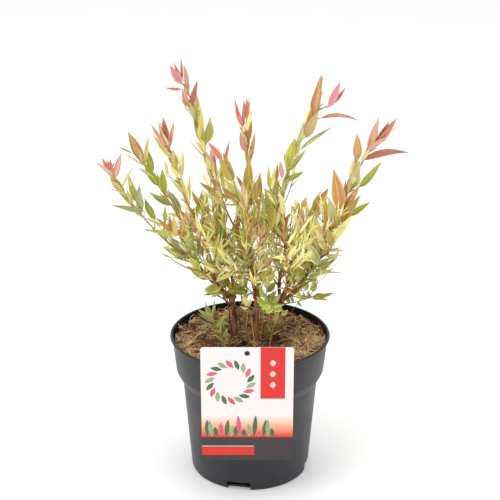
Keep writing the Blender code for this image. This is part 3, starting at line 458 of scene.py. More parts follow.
def mesh_from_arrays(name, points, corners, totals, tones, palette, smooth_angle=50):
    """One joined mesh from its points, its faces' corners and sizes, and each face's place in a palette."""
    mesh = bpy.data.meshes.new(name)
    mesh.vertices.add(len(points))
    mesh.vertices.foreach_set("co", np.ascontiguousarray(points, np.float32).ravel())
    mesh.loops.add(len(corners))
    mesh.loops.foreach_set("vertex_index", np.ascontiguousarray(corners, np.int32))
    mesh.polygons.add(len(totals))
    starts = np.concatenate(([0], np.cumsum(totals)[:-1]))
    mesh.polygons.foreach_set("loop_start", starts.astype(np.int32))
    used = sorted(set(tones.tolist()))
    places = {tone: place for place, tone in enumerate(used)}
    for tone in used:
        mesh.materials.append(palette[tone])
    mesh.polygons.foreach_set("material_index", np.vectorize(places.get)(tones).astype(np.int32))
    mesh.update(calc_edges=True)
    mesh.validate()
    mesh.shade_smooth()
    mesh.set_sharp_from_angle(angle=math.radians(smooth_angle))
    return mesh


def tube_arrays(lines, radii, sides):
    """Closed tubes along lines: points (n, p, 3), radii (n, p) or (n, p, sides)."""
    lines = np.asarray(lines, float)
    radii = np.asarray(radii, float)
    if radii.ndim == 2:
        radii = np.repeat(radii[:, :, None], sides, axis=2)
    count, steps = lines.shape[:2]
    ways = np.empty_like(lines)
    ways[:, 1:-1] = lines[:, 2:] - lines[:, :-2]
    ways[:, 0] = lines[:, 1] - lines[:, 0]
    ways[:, -1] = lines[:, -1] - lines[:, -2]
    ways /= np.linalg.norm(ways, axis=2, keepdims=True)
    side = np.cross(ways[:, 0], np.where(np.abs(ways[:, 0, :1]) < 0.8, [[1.0, 0, 0]], [[0, 1.0, 0]]))
    turns = math.tau * np.arange(sides) / sides
    points = np.empty((count, steps, sides, 3))
    for step in range(steps):
        way = ways[:, step]
        side = side - way * np.sum(side * way, axis=1, keepdims=True)
        side /= np.linalg.norm(side, axis=1, keepdims=True)
        other = np.cross(way, side)
        ring = side[:, None] * np.cos(turns)[None, :, None] + other[:, None] * np.sin(turns)[None, :, None]
        points[:, step] = lines[:, step, None] + ring * radii[:, step, :, None]
    k = np.arange(sides)
    after = (k + 1) % sides
    low = np.arange(steps - 1)[:, None] * sides
    quads = np.stack([low + k, low + after, low + sides + after, low + sides + k], axis=2).reshape(-1)
    caps = np.concatenate([k[::-1], (steps - 1) * sides + k])
    one = np.concatenate([quads, caps])
    totals_one = np.concatenate([np.full((steps - 1) * sides, 4), [sides, sides]])
    corners = (one[None] + np.arange(count)[:, None] * steps * sides).reshape(-1)
    return points.reshape(-1, 3), corners, np.tile(totals_one, count), (steps - 1) * sides + 2


def leaf_template(columns, rows, margin, rib):
    """A flat unit leaf shut like a purse: x across, y from foot to tip, z 1 on its underside.

    Faces carry a zone: 0 blade, 1 margin, 2 midrib, 3 underside.
    """
    shape = bmesh.new()
    across = len(columns) - 1
    bmesh.ops.create_grid(shape, x_segments=across, y_segments=rows, size=1)
    for vert in shape.verts:
        column = round((vert.co.x + 1) / 2 * across)
        vert.co = (columns[column], (vert.co.y + 1) / 2, 0)
    for face in shape.faces:
        middle = face.calc_center_median().x
        if abs(middle) > margin or (across == 2 and middle > 0):
            face.material_index = 1
        else:
            face.material_index = 2 if abs(middle) < rib else 0
    copied = bmesh.ops.duplicate(shape, geom=shape.verts[:] + shape.edges[:] + shape.faces[:])["geom"]
    under = [part for part in copied if isinstance(part, bmesh.types.BMFace)]
    bmesh.ops.reverse_faces(shape, faces=under)
    for face in under:
        face.material_index = 3
    for vert in (part for part in copied if isinstance(part, bmesh.types.BMVert)):
        if abs(vert.co.x) < 0.99 and 0.01 < vert.co.y < 0.99:
            vert.co.z = 1
    tip = [vert for vert in shape.verts if abs(vert.co.y - 1) < 0.01]
    bmesh.ops.pointmerge(shape, verts=tip, merge_co=(0, 1, 0))
    bmesh.ops.remove_doubles(shape, verts=shape.verts, dist=1e-4)
    shape.verts.index_update()
    points = np.array([vert.co for vert in shape.verts])
    corners = np.array([vert.index for face in shape.faces for vert in face.verts])
    totals = np.array([len(face.verts) for face in shape.faces])
    zones = np.array([face.material_index for face in shape.faces])
    middles = np.array([face.calc_center_median() for face in shape.faces])
    shape.free()
    return points, corners, totals, zones, middles


def leaf_arrays(template, leaves):
    """Every leaf of a list as one array: each is (root, way, up, size, form, kit)."""
    unit, corners, totals, zones, middles = template
    root = np.array([leaf[0] for leaf in leaves])
    way = np.array([leaf[1] for leaf in leaves])
    up = np.array([leaf[2] for leaf in leaves])
    length, width = np.array([leaf[3] for leaf in leaves]).T[:, :, None]
    fold, curl, bend, twist, wave, phase = np.array([leaf[4] for leaf in leaves]).T[:, :, None]
    kits = np.array([leaf[5] for leaf in leaves])
    way /= np.linalg.norm(way, axis=1, keepdims=True)
    side = np.cross(way, up)
    side /= np.linalg.norm(side, axis=1, keepdims=True)
    face = np.cross(side, way)
    s, t, under = unit.T[:, None, :]
    along = np.clip(t, 0, 1)
    profile = np.maximum(LEAF_FULLNESS * along ** LEAF_FOOT_POWER * (1 - along) ** LEAF_TIP_POWER,
                         LEAF_LEAST_WIDTH * (1 - t))
    reach = width / 2 * profile
    across = s * reach
    thickness = under * (LEAF_THICK_SHARE * reach + LEAF_THICKNESS)
    rise = np.abs(s) * reach * (fold + wave * np.sin(phase + 9 * t + 2 * s)) - thickness
    turn = twist * t
    x = across * np.cos(turn) - rise * np.sin(turn) + 4 * bend * length * t * (1 - t)
    z = across * np.sin(turn) + rise * np.cos(turn) - curl * length * t ** 2.2
    y = t * length
    points = (root[:, None] + side[:, None] * x[..., None] + way[:, None] * y[..., None]
              + face[:, None] * z[..., None])
    count = len(leaves)
    half = np.where(middles[:, 0] > 0, 1, 0)
    rng = np.random.default_rng(SEED)
    low, high = rng.uniform(*STREAK_FOOT, (count, 2)), rng.uniform(*STREAK_REACH, (count, 2))
    streaked = (middles[:, 1] > low[:, half]) & (middles[:, 1] < low[:, half] + high[:, half]) & (zones == 0)
    drawn = np.where(streaked, 4, zones[None])
    all_corners = (corners[None] + np.arange(count)[:, None] * len(unit)).reshape(-1)
    tones = np.take_along_axis(kits, drawn, axis=1).reshape(-1)
    return points.reshape(-1, 3), all_corners, np.tile(totals, count), tones


def join_arrays(parts):
    """Several (points, corners, totals, tones) sets as one."""
    offset, corners = 0, []
    for points, some, _, _ in parts:
        corners.append(some + offset)
        offset += len(points)
    return (np.concatenate([part[0] for part in parts]), np.concatenate(corners),
            np.concatenate([part[2] for part in parts]), np.concatenate([part[3] for part in parts]))


# Materials

def srgb(colour):
    """A colour given as 0 to 255 screen values, in linear light."""
    return tuple((value / 255 / 12.92) if value / 255 <= 0.04045 else ((value / 255 + 0.055) / 1.055) ** 2.4
                 for value in colour)


def new_group(name, inputs, outputs):
    """An empty shader node group with named sockets."""
    group = bpy.data.node_groups.new(name, "ShaderNodeTree")
    for label, kind, default in inputs:
        socket = group.interface.new_socket(label, in_out="INPUT", socket_type=kind)
        socket.default_value = default
    for label, kind in outputs:
        group.interface.new_socket(label, in_out="OUTPUT", socket_type=kind)
    return group, group.nodes.new("NodeGroupInput"), group.nodes.new("NodeGroupOutput")


def mottle_group():
    """Two tones mixed by stretched noise, with the noise as a height."""
    found = bpy.data.node_groups.get("Mottled tone")
    if found:
        return found
    group, given, result = new_group("Mottled tone", [
        ("Tone A", "NodeSocketColor", (1, 1, 1, 1)), ("Tone B", "NodeSocketColor", (0, 0, 0, 1)),
        ("Scale", "NodeSocketFloat", 100.0), ("Stretch", "NodeSocketVector", (1, 1, 1)),
        ("Low", "NodeSocketFloat", 0.35), ("High", "NodeSocketFloat", 0.65)],
        [("Color", "NodeSocketColor"), ("Height", "NodeSocketFloat")])
    nodes, link = group.nodes, group.links.new
    place = nodes.new("ShaderNodeTexCoord")
    stretch = nodes.new("ShaderNodeVectorMath")
    stretch.operation = "MULTIPLY"
    link(place.outputs["Object"], stretch.inputs[0])
    link(given.outputs["Stretch"], stretch.inputs[1])
    cloud = nodes.new("ShaderNodeTexNoise")
    cloud.inputs["Detail"].default_value = 5
    link(stretch.outputs[0], cloud.inputs["Vector"])
    link(given.outputs["Scale"], cloud.inputs["Scale"])
    spread_out = nodes.new("ShaderNodeMapRange")
    link(cloud.outputs["Fac"], spread_out.inputs["Value"])
    link(given.outputs["Low"], spread_out.inputs["From Min"])
    link(given.outputs["High"], spread_out.inputs["From Max"])
    mix = nodes.new("ShaderNodeMix")
    mix.data_type = "RGBA"
    link(spread_out.outputs["Result"], mix.inputs["Factor"])
    link(given.outputs["Tone A"], mix.inputs[6])
    link(given.outputs["Tone B"], mix.inputs[7])
    link(mix.outputs[2], result.inputs["Color"])
    link(cloud.outputs["Fac"], result.inputs["Height"])
    return group


def gloss_group():
    """Roughness that wanders between two values over a surface, as on handled plastic or print."""
    found = bpy.data.node_groups.get("Handled gloss")
    if found:
        return found
    group, given, result = new_group("Handled gloss", [
        ("Shiny", "NodeSocketFloat", 0.3), ("Dull", "NodeSocketFloat", 0.5),
        ("Scale", "NodeSocketFloat", 30.0)], [("Roughness", "NodeSocketFloat")])
    nodes, link = group.nodes, group.links.new
    place = nodes.new("ShaderNodeTexCoord")
    cloud = nodes.new("ShaderNodeTexNoise")
    cloud.inputs["Detail"].default_value = 4
    link(place.outputs["Object"], cloud.inputs["Vector"])
    link(given.outputs["Scale"], cloud.inputs["Scale"])
    spread_out = nodes.new("ShaderNodeMapRange")
    spread_out.inputs["From Min"].default_value = 0.3
    spread_out.inputs["From Max"].default_value = 0.7
    link(cloud.outputs["Fac"], spread_out.inputs["Value"])
    link(given.outputs["Shiny"], spread_out.inputs["To Min"])
    link(given.outputs["Dull"], spread_out.inputs["To Max"])
    link(spread_out.outputs["Result"], result.inputs["Roughness"])
    return group


def plain_material(name, colour, roughness=0.5, specular=0.35):
    """A Principled material whose values are all plain, for the many small pieces."""
    made = bpy.data.materials.new(name)
    made.use_nodes = True
    shader = made.node_tree.nodes["Principled BSDF"]
    shader.inputs["Base Color"].default_value = (*colour, 1)
    shader.inputs["Roughness"].default_value = roughness
    shader.inputs["Specular IOR Level"].default_value = specular
    made.diffuse_color = (*colour, 1)
    return made


def mottled_material(name, tone_a, tone_b, scale, stretch=(1, 1, 1), low=0.35, high=0.65,
                     shiny=0.5, dull=0.7, gloss_scale=30, bump=0.2, bump_depth=0.0003, specular=0.4):
    """A Principled material with mottled colour, wandering gloss and a bump from the same noise."""
    made = plain_material(name, tone_a, dull, specular)
    nodes, link = made.node_tree.nodes, made.node_tree.links.new
    shader = nodes["Principled BSDF"]
    mottle = nodes.new("ShaderNodeGroup")
    mottle.node_tree = mottle_group()
    mottle.inputs["Tone A"].default_value = (*tone_a, 1)
    mottle.inputs["Tone B"].default_value = (*tone_b, 1)
    mottle.inputs["Scale"].default_value = scale
    mottle.inputs["Stretch"].default_value = stretch
    mottle.inputs["Low"].default_value = low
    mottle.inputs["High"].default_value = high
    gloss = nodes.new("ShaderNodeGroup")
    gloss.node_tree = gloss_group()
    gloss.inputs["Shiny"].default_value = shiny
    gloss.inputs["Dull"].default_value = dull
    gloss.inputs["Scale"].default_value = gloss_scale
    link(mottle.outputs["Color"], shader.inputs["Base Color"])
    link(gloss.outputs["Roughness"], shader.inputs["Roughness"])
    if bump:
        relief = nodes.new("ShaderNodeBump")
        relief.inputs["Strength"].default_value = bump
        relief.inputs["Distance"].default_value = bump_depth
        link(mottle.outputs["Height"], relief.inputs["Height"])
        link(relief.outputs["Normal"], shader.inputs["Normal"])
    return made


def shade(colour, factor):
    """A colour made lighter or darker."""
    return tuple(min(1.0, value * factor) for value in colour)


LEAF_TONES = {
    "k": [(212, 115, 97), (206, 128, 102), (194, 104, 84), (214, 141, 123)],
    "p": [(206, 162, 138), (198, 150, 130), (214, 176, 152)],
    "i": [(206, 132, 130), (212, 148, 144), (196, 118, 116)],
    "v": [(184, 118, 94), (172, 104, 80), (194, 128, 104)],
    "t": [(208, 172, 130), (200, 160, 118), (216, 184, 144)],
    "r": [(190, 144, 92), (180, 132, 80), (200, 158, 108), (172, 120, 66)],
    "o": [(194, 170, 76), (184, 156, 64), (206, 182, 98)],
    "q": [(206, 154, 92), (198, 144, 82), (212, 166, 106)],
    "c": [(212, 196, 130), (206, 186, 120), (220, 208, 148), (204, 184, 126)],
    "b": [(198, 174, 120), (206, 184, 128), (190, 164, 110)],
    "l": [(197, 192, 88), (207, 199, 104), (189, 190, 75), (210, 202, 122)],
    "g": [(156, 160, 60), (168, 170, 78), (140, 148, 52)],
    "n": [(168, 142, 72), (156, 132, 62), (180, 154, 84)],
    "s": [(184, 184, 116), (194, 192, 130), (174, 180, 108)],
    "e": [(134, 152, 58), (146, 164, 72), (120, 138, 50)],
    "z": [(186, 198, 82), (172, 188, 72), (200, 210, 104)],
    "u": [(150, 154, 92), (162, 164, 104), (136, 144, 84)],
    # f and h, and partly j, are painted light: limes drawn lighter than the leaves' own colour, standing in for
    # light through the thin leaves in the shaded inner crown where the fine twigs use them.
    "f": [(240, 233, 124), (245, 239, 146), (228, 226, 108)],
    "h": [(224, 217, 98), (232, 224, 116), (212, 208, 84)],
    "j": [(243, 236, 160), (250, 244, 184), (235, 228, 142)],
    "y": [(226, 220, 114), (233, 227, 136), (213, 211, 102)],
    "w": [(250, 240, 190), (244, 232, 172), (252, 246, 210)],
}
UNDER_TONE = {"k": "p", "i": "p", "t": "t", "r": "t", "o": "c", "q": "t", "g": "s", "n": "b", "l": "c", "c": "j",
              "f": "j", "h": "f", "z": "f", "u": "s"}
MARGIN_TONE = {"k": "kp", "p": "kp", "i": "ip", "t": "tr", "r": "rq", "o": "oc", "q": "qr", "c": "cj", "l": "lc",
               "g": "gl", "n": "no", "s": "sc", "f": "fj", "h": "hf", "y": "wy", "w": "wy"}
RIB_TONE = {"p": "t", "t": "c", "r": "q", "o": "c", "q": "t", "c": "j", "b": "c", "l": "c", "g": "l", "n": "o",
            "s": "c", "z": "s", "u": "s", "f": "j", "h": "f", "y": "w", "j": "w"}
DAPPLE_TONE = {"v": "vkr", "e": "eug", "k": "kkr", "p": "pkt", "i": "iip", "t": "rc", "r": "rqo", "o": "ool",
                "q": "qqr", "c": "ccj",
               "b": "bt", "l": "llg", "g": "ggl", "n": "nr", "s": "ssc", "z": "zu", "u": "uz", "f": "ffj",
               "h": "hgf", "y": "fw", "w": "jy", "j": "jf"}
STREAK_FOOT = (-0.2, 0.8)
STREAK_REACH = (-0.4, 0.7)
TWIG_TONES = {"bark": (92, 54, 36), "brown": (128, 88, 52), "olive": (148, 138, 66), "rust": (150, 70, 52),
              "tan": (176, 140, 84), "pink": (186, 112, 92), "pale": (210, 184, 140)}
TWIG_RUNS = {"branch": ("tan", "tan", "tan", "tan", "tan", "pink", "pink"),
             "mixed": ("brown", "olive", "olive", "tan", "tan", "tan", "pink"), "green": ("olive",) * 7}
COIR_TONES = [(40, 24, 14), (76, 47, 28), (118, 80, 48), (154, 110, 70), (190, 148, 102), (224, 192, 146)]


class Palette:
    """Plain leaf, twig and fibre materials, each with its place in one list."""

    def __init__(self):
        self.materials = []
        self.places = {}
        for tone, colours in LEAF_TONES.items():
            self.places[tone] = [self.add(f"leaf_{tone}_{n}", colour, 0.52) for n, colour in enumerate(colours)]
        for name, colour in TWIG_TONES.items():
            self.places[name] = [self.add("twig_" + name, colour, 0.6)]
        self.places["coir"] = [self.add(f"coir_strand_{n}", colour, 0.8) for n, colour in enumerate(COIR_TONES)]

    def add(self, name, colour, roughness):
        made = bpy.data.materials.get(name) or plain_material(name, srgb(colour), roughness)
        self.materials.append(made)
        return len(self.materials) - 1

    def pick(self, tone, rng):
        return rng.choice(self.places[tone])

    def kit(self, tone, rng):
        """Blade, margin, midrib, underside and dapples of one leaf."""
        return (self.pick(tone, rng), self.pick(rng.choice(MARGIN_TONE.get(tone, tone)), rng),
                self.pick(RIB_TONE.get(tone, tone), rng), self.pick(UNDER_TONE.get(tone, tone), rng),
                self.pick(rng.choice(DAPPLE_TONE[tone]), rng))


# Growth rule

def vector(point):
    """A point in millimetres as a vector in metres."""
    return Vector(point) * MM


def curve(start, leave, end, arrive, steps):
    """Points along a smooth curve that leaves one way and arrives another."""
    reach = (end - start).length / 3
    one, two = start + leave.normalized() * reach, end - arrive.normalized() * reach
    points = []
    for step in range(steps + 1):
        t = step / steps
        s = 1 - t
        points.append(start * s ** 3 + one * 3 * s * s * t + two * 3 * s * t * t + end * t ** 3)
    return points


def spread(directions, angle):
    """Turn directions that start at one knot apart until each pair is at least an angle apart."""
    turned_out = [direction.normalized() for direction in directions]
    for _ in range(200):
        for i, one in enumerate(turned_out):
            for j in range(i):
                two = turned_out[j]
                short = angle - one.angle(two)
                if short > 0:
                    away = (one - two).normalized() * math.radians(1) * (1 + short)
                    turned_out[i] = one = (one + away).normalized()
                    turned_out[j] = (two - away).normalized()
    return turned_out


def turned_way(way, opening, turn):
    """A direction opened from a way by one angle, and turned round it by another from its far side."""
    side = Vector((0, 1, 0)) if abs(way.y) < 0.9 else Vector((0, 0, 1))
    side = (side - way * side.dot(way)).normalized()
    side.rotate(Matrix.Rotation(math.radians(turn), 3, way))
    return (way * math.cos(math.radians(opening)) + side * math.sin(math.radians(opening))).normalized()


def along(points, distance):
    """The point and the direction at a distance along a line of points."""
    for start, end in zip(points, points[1:]):
        step = (end - start).length
        if distance <= step:
            return start.lerp(end, distance / step), (end - start).normalized()
        distance -= step
    return points[-1].copy(), (points[-1] - points[-2]).normalized()


def length_of(points):
    """Length of a line of points."""
    return sum((end - start).length for start, end in zip(points, points[1:]))


def resampled(points, steps, cut=0.0):
    """The same line in even steps, cut short of its end by a length."""
    total = length_of(points) - cut
    return [along(points, total * step / steps)[0] for step in range(steps + 1)]


def smoothed(line):
    """A line of points with its corners rounded."""
    smooth = []
    for step in range(len(line) - 1):
        smooth += [line[step].lerp(line[step + 1], share) for share in (0, 0.5)]
    smooth.append(line[-1])
    for step in range(1, len(smooth) - 1):
        smooth[step] = (smooth[step - 1] + smooth[step] * 2 + smooth[step + 1]) / 4
    return smooth


def lay_out_limbs():
    """Centre lines and radii of the stems and boughs, and where each shoot starts."""
    limbs, heads = {}, {}
    up = Vector((0, 0, 1))
    for name, foot, head, radius in STEMS:
        start, end = vector((*foot, COIR_TOP / MM)), vector(head)
        points = curve(start, up, end, end - start, 14)
        radii = [radius * MM * (1 + (STEM_FLARE - 1) * (1 - share) ** 4 - STEM_TAPER * share)
                 for share in (step / 14 for step in range(15))]
        limbs[name] = (points, radii)
        heads[name] = end
    for stem in heads:
        own = [bough for bough in BOUGHS if bough[1] == stem]
        ways = spread([vector(tip) - heads[stem] for _, _, tip in own], math.radians(BOUGH_ANGLE_APART))
        for (name, _, tip), way in zip(own, ways):
            start = heads[stem] + way * (STEM_HEAD_RADIUS * MM + CLEARANCE)
            end = vector(tip)
            points = curve(start, way, end, (end - start).normalized() + Vector((0, 0, 0.5)), 10)
            radii = [(BOUGH_FOOT_RADIUS + (BOUGH_TIP_RADIUS - BOUGH_FOOT_RADIUS) * step / 10) * MM
                     for step in range(11)]
            limbs[name] = ([heads[stem]] + points, [BOUGH_FOOT_RADIUS * 1.2 * MM] + radii)
    return limbs


def lay_out_shoots(limbs):
    """The centre line of each shoot and of its side branches, from its bough's tip to its own."""
    shoots = {}
    for bough in [name for name, _, _ in BOUGHS] + [None]:
        own = [shoot for shoot in SHOOTS if shoot[1] == bough]
        if bough:
            head = limbs[bough][0][-1]
            ways = spread([vector(shoot[2]) - head for shoot in own], math.radians(SHOOT_ANGLE_APART))
            starts = [head + way * (BOUGH_KNOT_RADIUS * MM + CLEARANCE) for way in ways]
        else:
            starts = [vector((*SOIL_SHOOT_FEET[shoot[0]], COIR_TOP / MM)) for shoot in own]
            ways = [Vector((0, 0, 1)) for _ in own]
        for (name, _, tip, sides, tones), start, way in zip(own, starts, ways):
            end = vector(tip)
            straight = (end - start).normalized()
            axis = curve(start, way, end, straight + Vector((0, 0, 0.45)), AXIS_STEPS)
            if name in SHOOT_BENDS:
                bent = [start] + [vector(place) for place in SHOOT_BENDS[name]] + [end]
                axis = resampled(smoothed(bent), AXIS_STEPS)
            branches = []
            if bough:
                axis[0:1] = [head, start]
            for share, side_tip in sides:
                fork = axis[round(share * AXIS_STEPS) + (1 if bough else 0)]
                side_end = vector(side_tip)
                leave = (side_end - fork).normalized() + straight
                branches.append(curve(fork, leave, side_end, side_end - fork, BRANCH_STEPS))
            shoots[name] = (axis, branches, tones)
    return shoots


def coir_height(x, y):
    """Height of the coir's top at a place: flat round the stems, swelling to the sides."""
    radius = math.hypot(x, y)
    if radius <= COIR_FLAT_RADIUS:
        return COIR_TOP
    share = (radius - COIR_FLAT_RADIUS) / (COIR_RADIUS - COIR_FLAT_RADIUS)
    bearing = math.atan2(y, x)
    lump = math.sin(5 * bearing + 1.3) + math.sin(9 * bearing + 7 * share)
    lump += math.sin(13 * share + 2 * bearing)
    swell = COIR_SWELL * math.sin(math.pi * min(share, 0.9) * 0.75)
    return COIR_TOP + swell + COIR_LUMP * share * lump * 0.5


def clear_of_pot(point):
    """Whether a leaf's point keeps off the coir, the rim and the card."""
    x, y, z = point
    if abs(x - CARD_X) < CARD_WIDTH / 2 + 3 * MM and y < -80 * MM and z < CARD_TOP + 4 * MM:
        return False
    if math.hypot(x, y) > COIR_RADIUS:
        return z > POT_HEIGHT + 4 * MM
    return z > coir_height(x, y) + 4 * MM


def along_ray(point, y):
    """The place at a depth that the camera sees where it sees a point."""
    share = (y + CAMERA_DISTANCE) / (point.y + CAMERA_DISTANCE)
    return Vector((point.x * share, y, CAMERA_HEIGHT + (point.z - CAMERA_HEIGHT) * share))


def in_open_sky(point):
    """Whether the camera sees a point in one of the crown's open places."""
    seen = along_ray(point, 0)
    return any((seen.x / MM - x) ** 2 + (seen.z / MM - z) ** 2 < radius ** 2 for x, z, radius in OPEN_SKY)


def nearest_in_front_view(lines, x, z):
    """Of several lines, the one nearest to a place as seen from the front, and the distance along it."""
    best = None
    for points in lines:
        walked = 0
        for start, end in zip(points, points[1:]):
            run = Vector((end.x - start.x, end.z - start.z))
            share = max(0.0, min(1.0, Vector((x - start.x, z - start.z)).dot(run) / run.length_squared))
            gap = math.hypot(start.x + run.x * share - x, start.z + run.y * share - z)
            if best is None or gap < best[0]:
                best = (gap, points, walked + (end - start).length * share)
            walked += (end - start).length
    return best


class Crown:
    """Collects the leaves and twig lines of one part of the crown."""

    def __init__(self, palette):
        self.palette = palette
        self.leaves = []
        self.fine_leaves = []
        self.lines = []

    def twig(self, points, foot, tip, tone):
        """Note a twig along a line, with its radius in millimetres at foot and tip."""
        radii = [(foot + (tip - foot) * step / TWIG_STEPS) * MM for step in range(TWIG_STEPS + 1)]
        self.lines.append((resampled(points, TWIG_STEPS), radii, tone))

    def leaf(self, root, way, up, length, width, tone, rng, fine=False, bow=None):
        """Note a leaf that starts at a root, unless it would meet the coir, the rim or the card."""
        if not clear_of_pot(root + way * length) or not clear_of_pot(root + way * length * 0.5):
            return
        if bow is None and any(in_open_sky(root + way * length * share) for share in (0.35, 0.65, 0.95)):
            return
        bend = rng.gauss(0, 0.03) if bow is None else bow
        curl = rng.gauss(0.06, 0.07) if bow is None else rng.gauss(0.02, 0.03)
        form = (rng.uniform(0.15, 0.7), curl, bend,
                rng.gauss(0, 0.35), rng.uniform(0.0, 0.22), rng.uniform(0, math.tau))
        record = (tuple(root), tuple(way), tuple(up), (length, width), form, self.palette.kit(tone, rng))
        (self.fine_leaves if fine else self.leaves).append(record)

    def place_leaf(self, lines, foot_x, foot_z, tip_x, tip_z, width, tone, rng, bow=0.0):
        """A leaf between two places of the front view, on a twig of its own where it stands off its limb."""
        foot, tip = vector((foot_x, 0, foot_z)), vector((tip_x, 0, tip_z))
        gap, points, distance = nearest_in_front_view(lines, foot.x, foot.z)
        root = along(points, distance)[0]
        if gap > LEAF_OFF_LIMB * MM:
            foot.y = root.y
            foot = along_ray(foot, root.y + rng.uniform(-0.4, 0.4) * gap)
            start, way = along(points, max(0.0, distance - 1.2 * gap))
            line = curve(start, way + 2 * (foot - start).normalized(), foot, foot - start, 4)
            self.twig(line, min(FINE_TWIG_RADIUS, 0.4 + gap / MM * 0.05), 0.4, "fine")
            root = foot
        reach = math.hypot(tip.x - root.x, tip.z - root.z)
        tip.y = root.y
        tip = along_ray(tip, root.y + rng.uniform(-0.4, 0.05) * reach)
        way = (tip - root).normalized()
        up = Vector((0, -1, 0))
        up.rotate(Matrix.Rotation(rng.gauss(0, 0.25), 3, way))
        self.leaf(root, way, up, (tip - root).length, width * PLACED_WIDTH * MM, tone, rng, False, -bow)

    def dress(self, points, rule, end_leaf, tones, rng):
        """Leaves in pairs along a line, with a bunch at its end, by a rule."""
        total = length_of(points)
        turn = rng.uniform(0, 360)
        tip, way = along(points, total)
        for number, (angle, share) in enumerate(rule.bunch):
            back = (1 + 1.6 * number) * MM
            if rule.in_depth:
                turn = 180 * number + rng.gauss(0, 25)
            direction = turned_way(way, angle * rng.uniform(0.8, 1.2), turn + number * LEAF_TURN * 1.4)
            up = way if number else way.orthogonal()
            length = end_leaf * share * rng.uniform(0.92, 1.05)
            self.leaf(tip - way * back, direction, up, length, length * rule.width_share * rng.uniform(0.9, 1.15),
                      tones[-1], rng, rule.fine)
        place = rule.first * MM
        while place < total - 4 * MM:
            share = place / total
            for half in (0, 180):
                root, way = along(points, place + half * MM / 100)
                angle = rule.opening[0] + (rule.opening[1] - rule.opening[0]) * share
                around = half + (rng.gauss(0, 28) if rule.in_depth else turn + rng.uniform(-20, 20))
                direction = turned_way(way, angle * rng.uniform(0.75, 1.25), around)
                length = rule.foot_length + (rule.tip_length - rule.foot_length) * min(1, 1.4 * share)
                length *= rng.uniform(0.8, 1.12) * MM
                number = min(len(tones) - 1, max(0, int(share * len(tones) + rng.uniform(-0.6, 0.6))))
                self.leaf(root, direction, way, length, length * rule.width_share * rng.uniform(0.85, 1.2),
                          tones[number], rng, rule.fine)
            turn += LEAF_TURN
            place += rule.spacing * MM * rng.uniform(0.8, 1.2)


def fine_tones(rng, tones):
    """The tones of a fine inner twig: mostly cream and lime, the lighter limes painted light, with some of its
    shoot's own.
    """
    if tones in CREAM_SHOOTS:
        return rng.choice(("cjb", "cbj", "coj", "jcb", "lcj", "bjc"))
    return rng.choice(("hfj", "ehj", "wfh", "fjw", "hgf", "yfh", "jfw", "ghe", "ojq", "hfh", "euj", "orq", "jro",
                       "wjh", "egs", tones[:3]))


def grow_fine_twigs(crown, points, first, last, step, reach, tones, rng):
    """Fine leafy twigs that rise from a stretch of a limb."""
    total = length_of(points)
    turn = rng.uniform(0, 360)
    share = first
    while share < last:
        root, way = along(points, share * total)
        length = rng.uniform(*reach) * MM
        direction = turned_way(way, rng.uniform(26, 52), turn)
        end = root + (direction + Vector((0, 0, rng.uniform(0.3, 1.0)))).normalized() * length
        if clear_of_pot(end):
            line = curve(root, direction, end, direction + way, 4)
            crown.twig(line, FINE_TWIG_RADIUS, FINE_TWIG_TIP_RADIUS, "fine")
            crown.dress(line, FINE_RULE, FINE_TIP_LEAF_LENGTH * MM, fine_tones(rng, tones), rng)
        turn += GOLDEN_TURN
        share += step


def grow_shoot(crown, name, axis, branches, tones, rng):
    """The shoot's own line and side branches with large leaves, and its fine twigs."""
    placed = PLACED_LEAVES.get(name, ())
    in_view = len(placed) > 1
    soil = "soil" in name
    lines = []
    for number, points in enumerate([axis] + branches):
        end_leaf = min((TIP_IN_VIEW if in_view and number == 0 else TIP_LEAF_LENGTH) * MM, 0.5 * length_of(points))
        cut = resampled(points, 10, end_leaf)
        foot = SHOOT_FOOT_RADIUS if number == 0 else BRANCH_FOOT_RADIUS
        crown.twig(cut, foot, SHOOT_TIP_RADIUS, "green" if soil else "branch" if number else "mixed")
        own = tones if number == 0 else tones[-3:]
        if soil:
            rule = SOIL_RULE
        elif in_view and number:
            lines.append(cut)
            continue
        elif in_view:
            rule = DEPTH_RULE
        else:
            rule = SIDE_RULE if number else FULL_RULE
        crown.dress(cut, rule, end_leaf, own, rng)
        lines.append(cut)
    for leaf in placed:
        crown.place_leaf(lines, *leaf[:6], rng, *leaf[6:])
    if not soil and name not in OPEN_SHOOTS:
        usual = (0.32, 0.08) if in_view else (0.5, 0.12)
        last, step = FINE_TWIG_REACH.get(name, usual)
        grow_fine_twigs(crown, lines[0], 0.02, last, step, (22, 46), tones, rng)


def grow_bough(crown, name, points, rng):
    """Fine leafy twigs on the upper part of a bough, and the leaves placed on it."""
    for leaf in PLACED_LEAVES.get(name, ()):
        crown.place_leaf([points], *leaf[:6], rng, *leaf[6:])
    outer = name in OUTER_BOUGHS
    grow_fine_twigs(crown, points, 0.5 if outer else 0.15, 1.0, 0.2 if outer else 0.1, (22, 46), "lyj", rng)


def grow_thin_shoot(crown, name, places, rng):
    """A thin shoot through given points, with the leaves placed on it."""
    points = [vector(place) for place in places]
    if len(points) < 4:
        points = curve(points[0], points[1] - points[0], points[-1], points[-1] - points[-2], 8)
    smooth = smoothed(points)
    crown.twig(smooth, THIN_SHOOT_RADIUS, FINE_TWIG_TIP_RADIUS, "mixed")
    for leaf in PLACED_LEAVES.get(name, ()):
        crown.place_leaf([smooth], *leaf[:6], rng, *leaf[6:])
    if name in LEAFY_THIN_SHOOTS:
        grow_fine_twigs(crown, smooth, 0.05, 0.6, 0.1, (18, 34), "wly", rng)


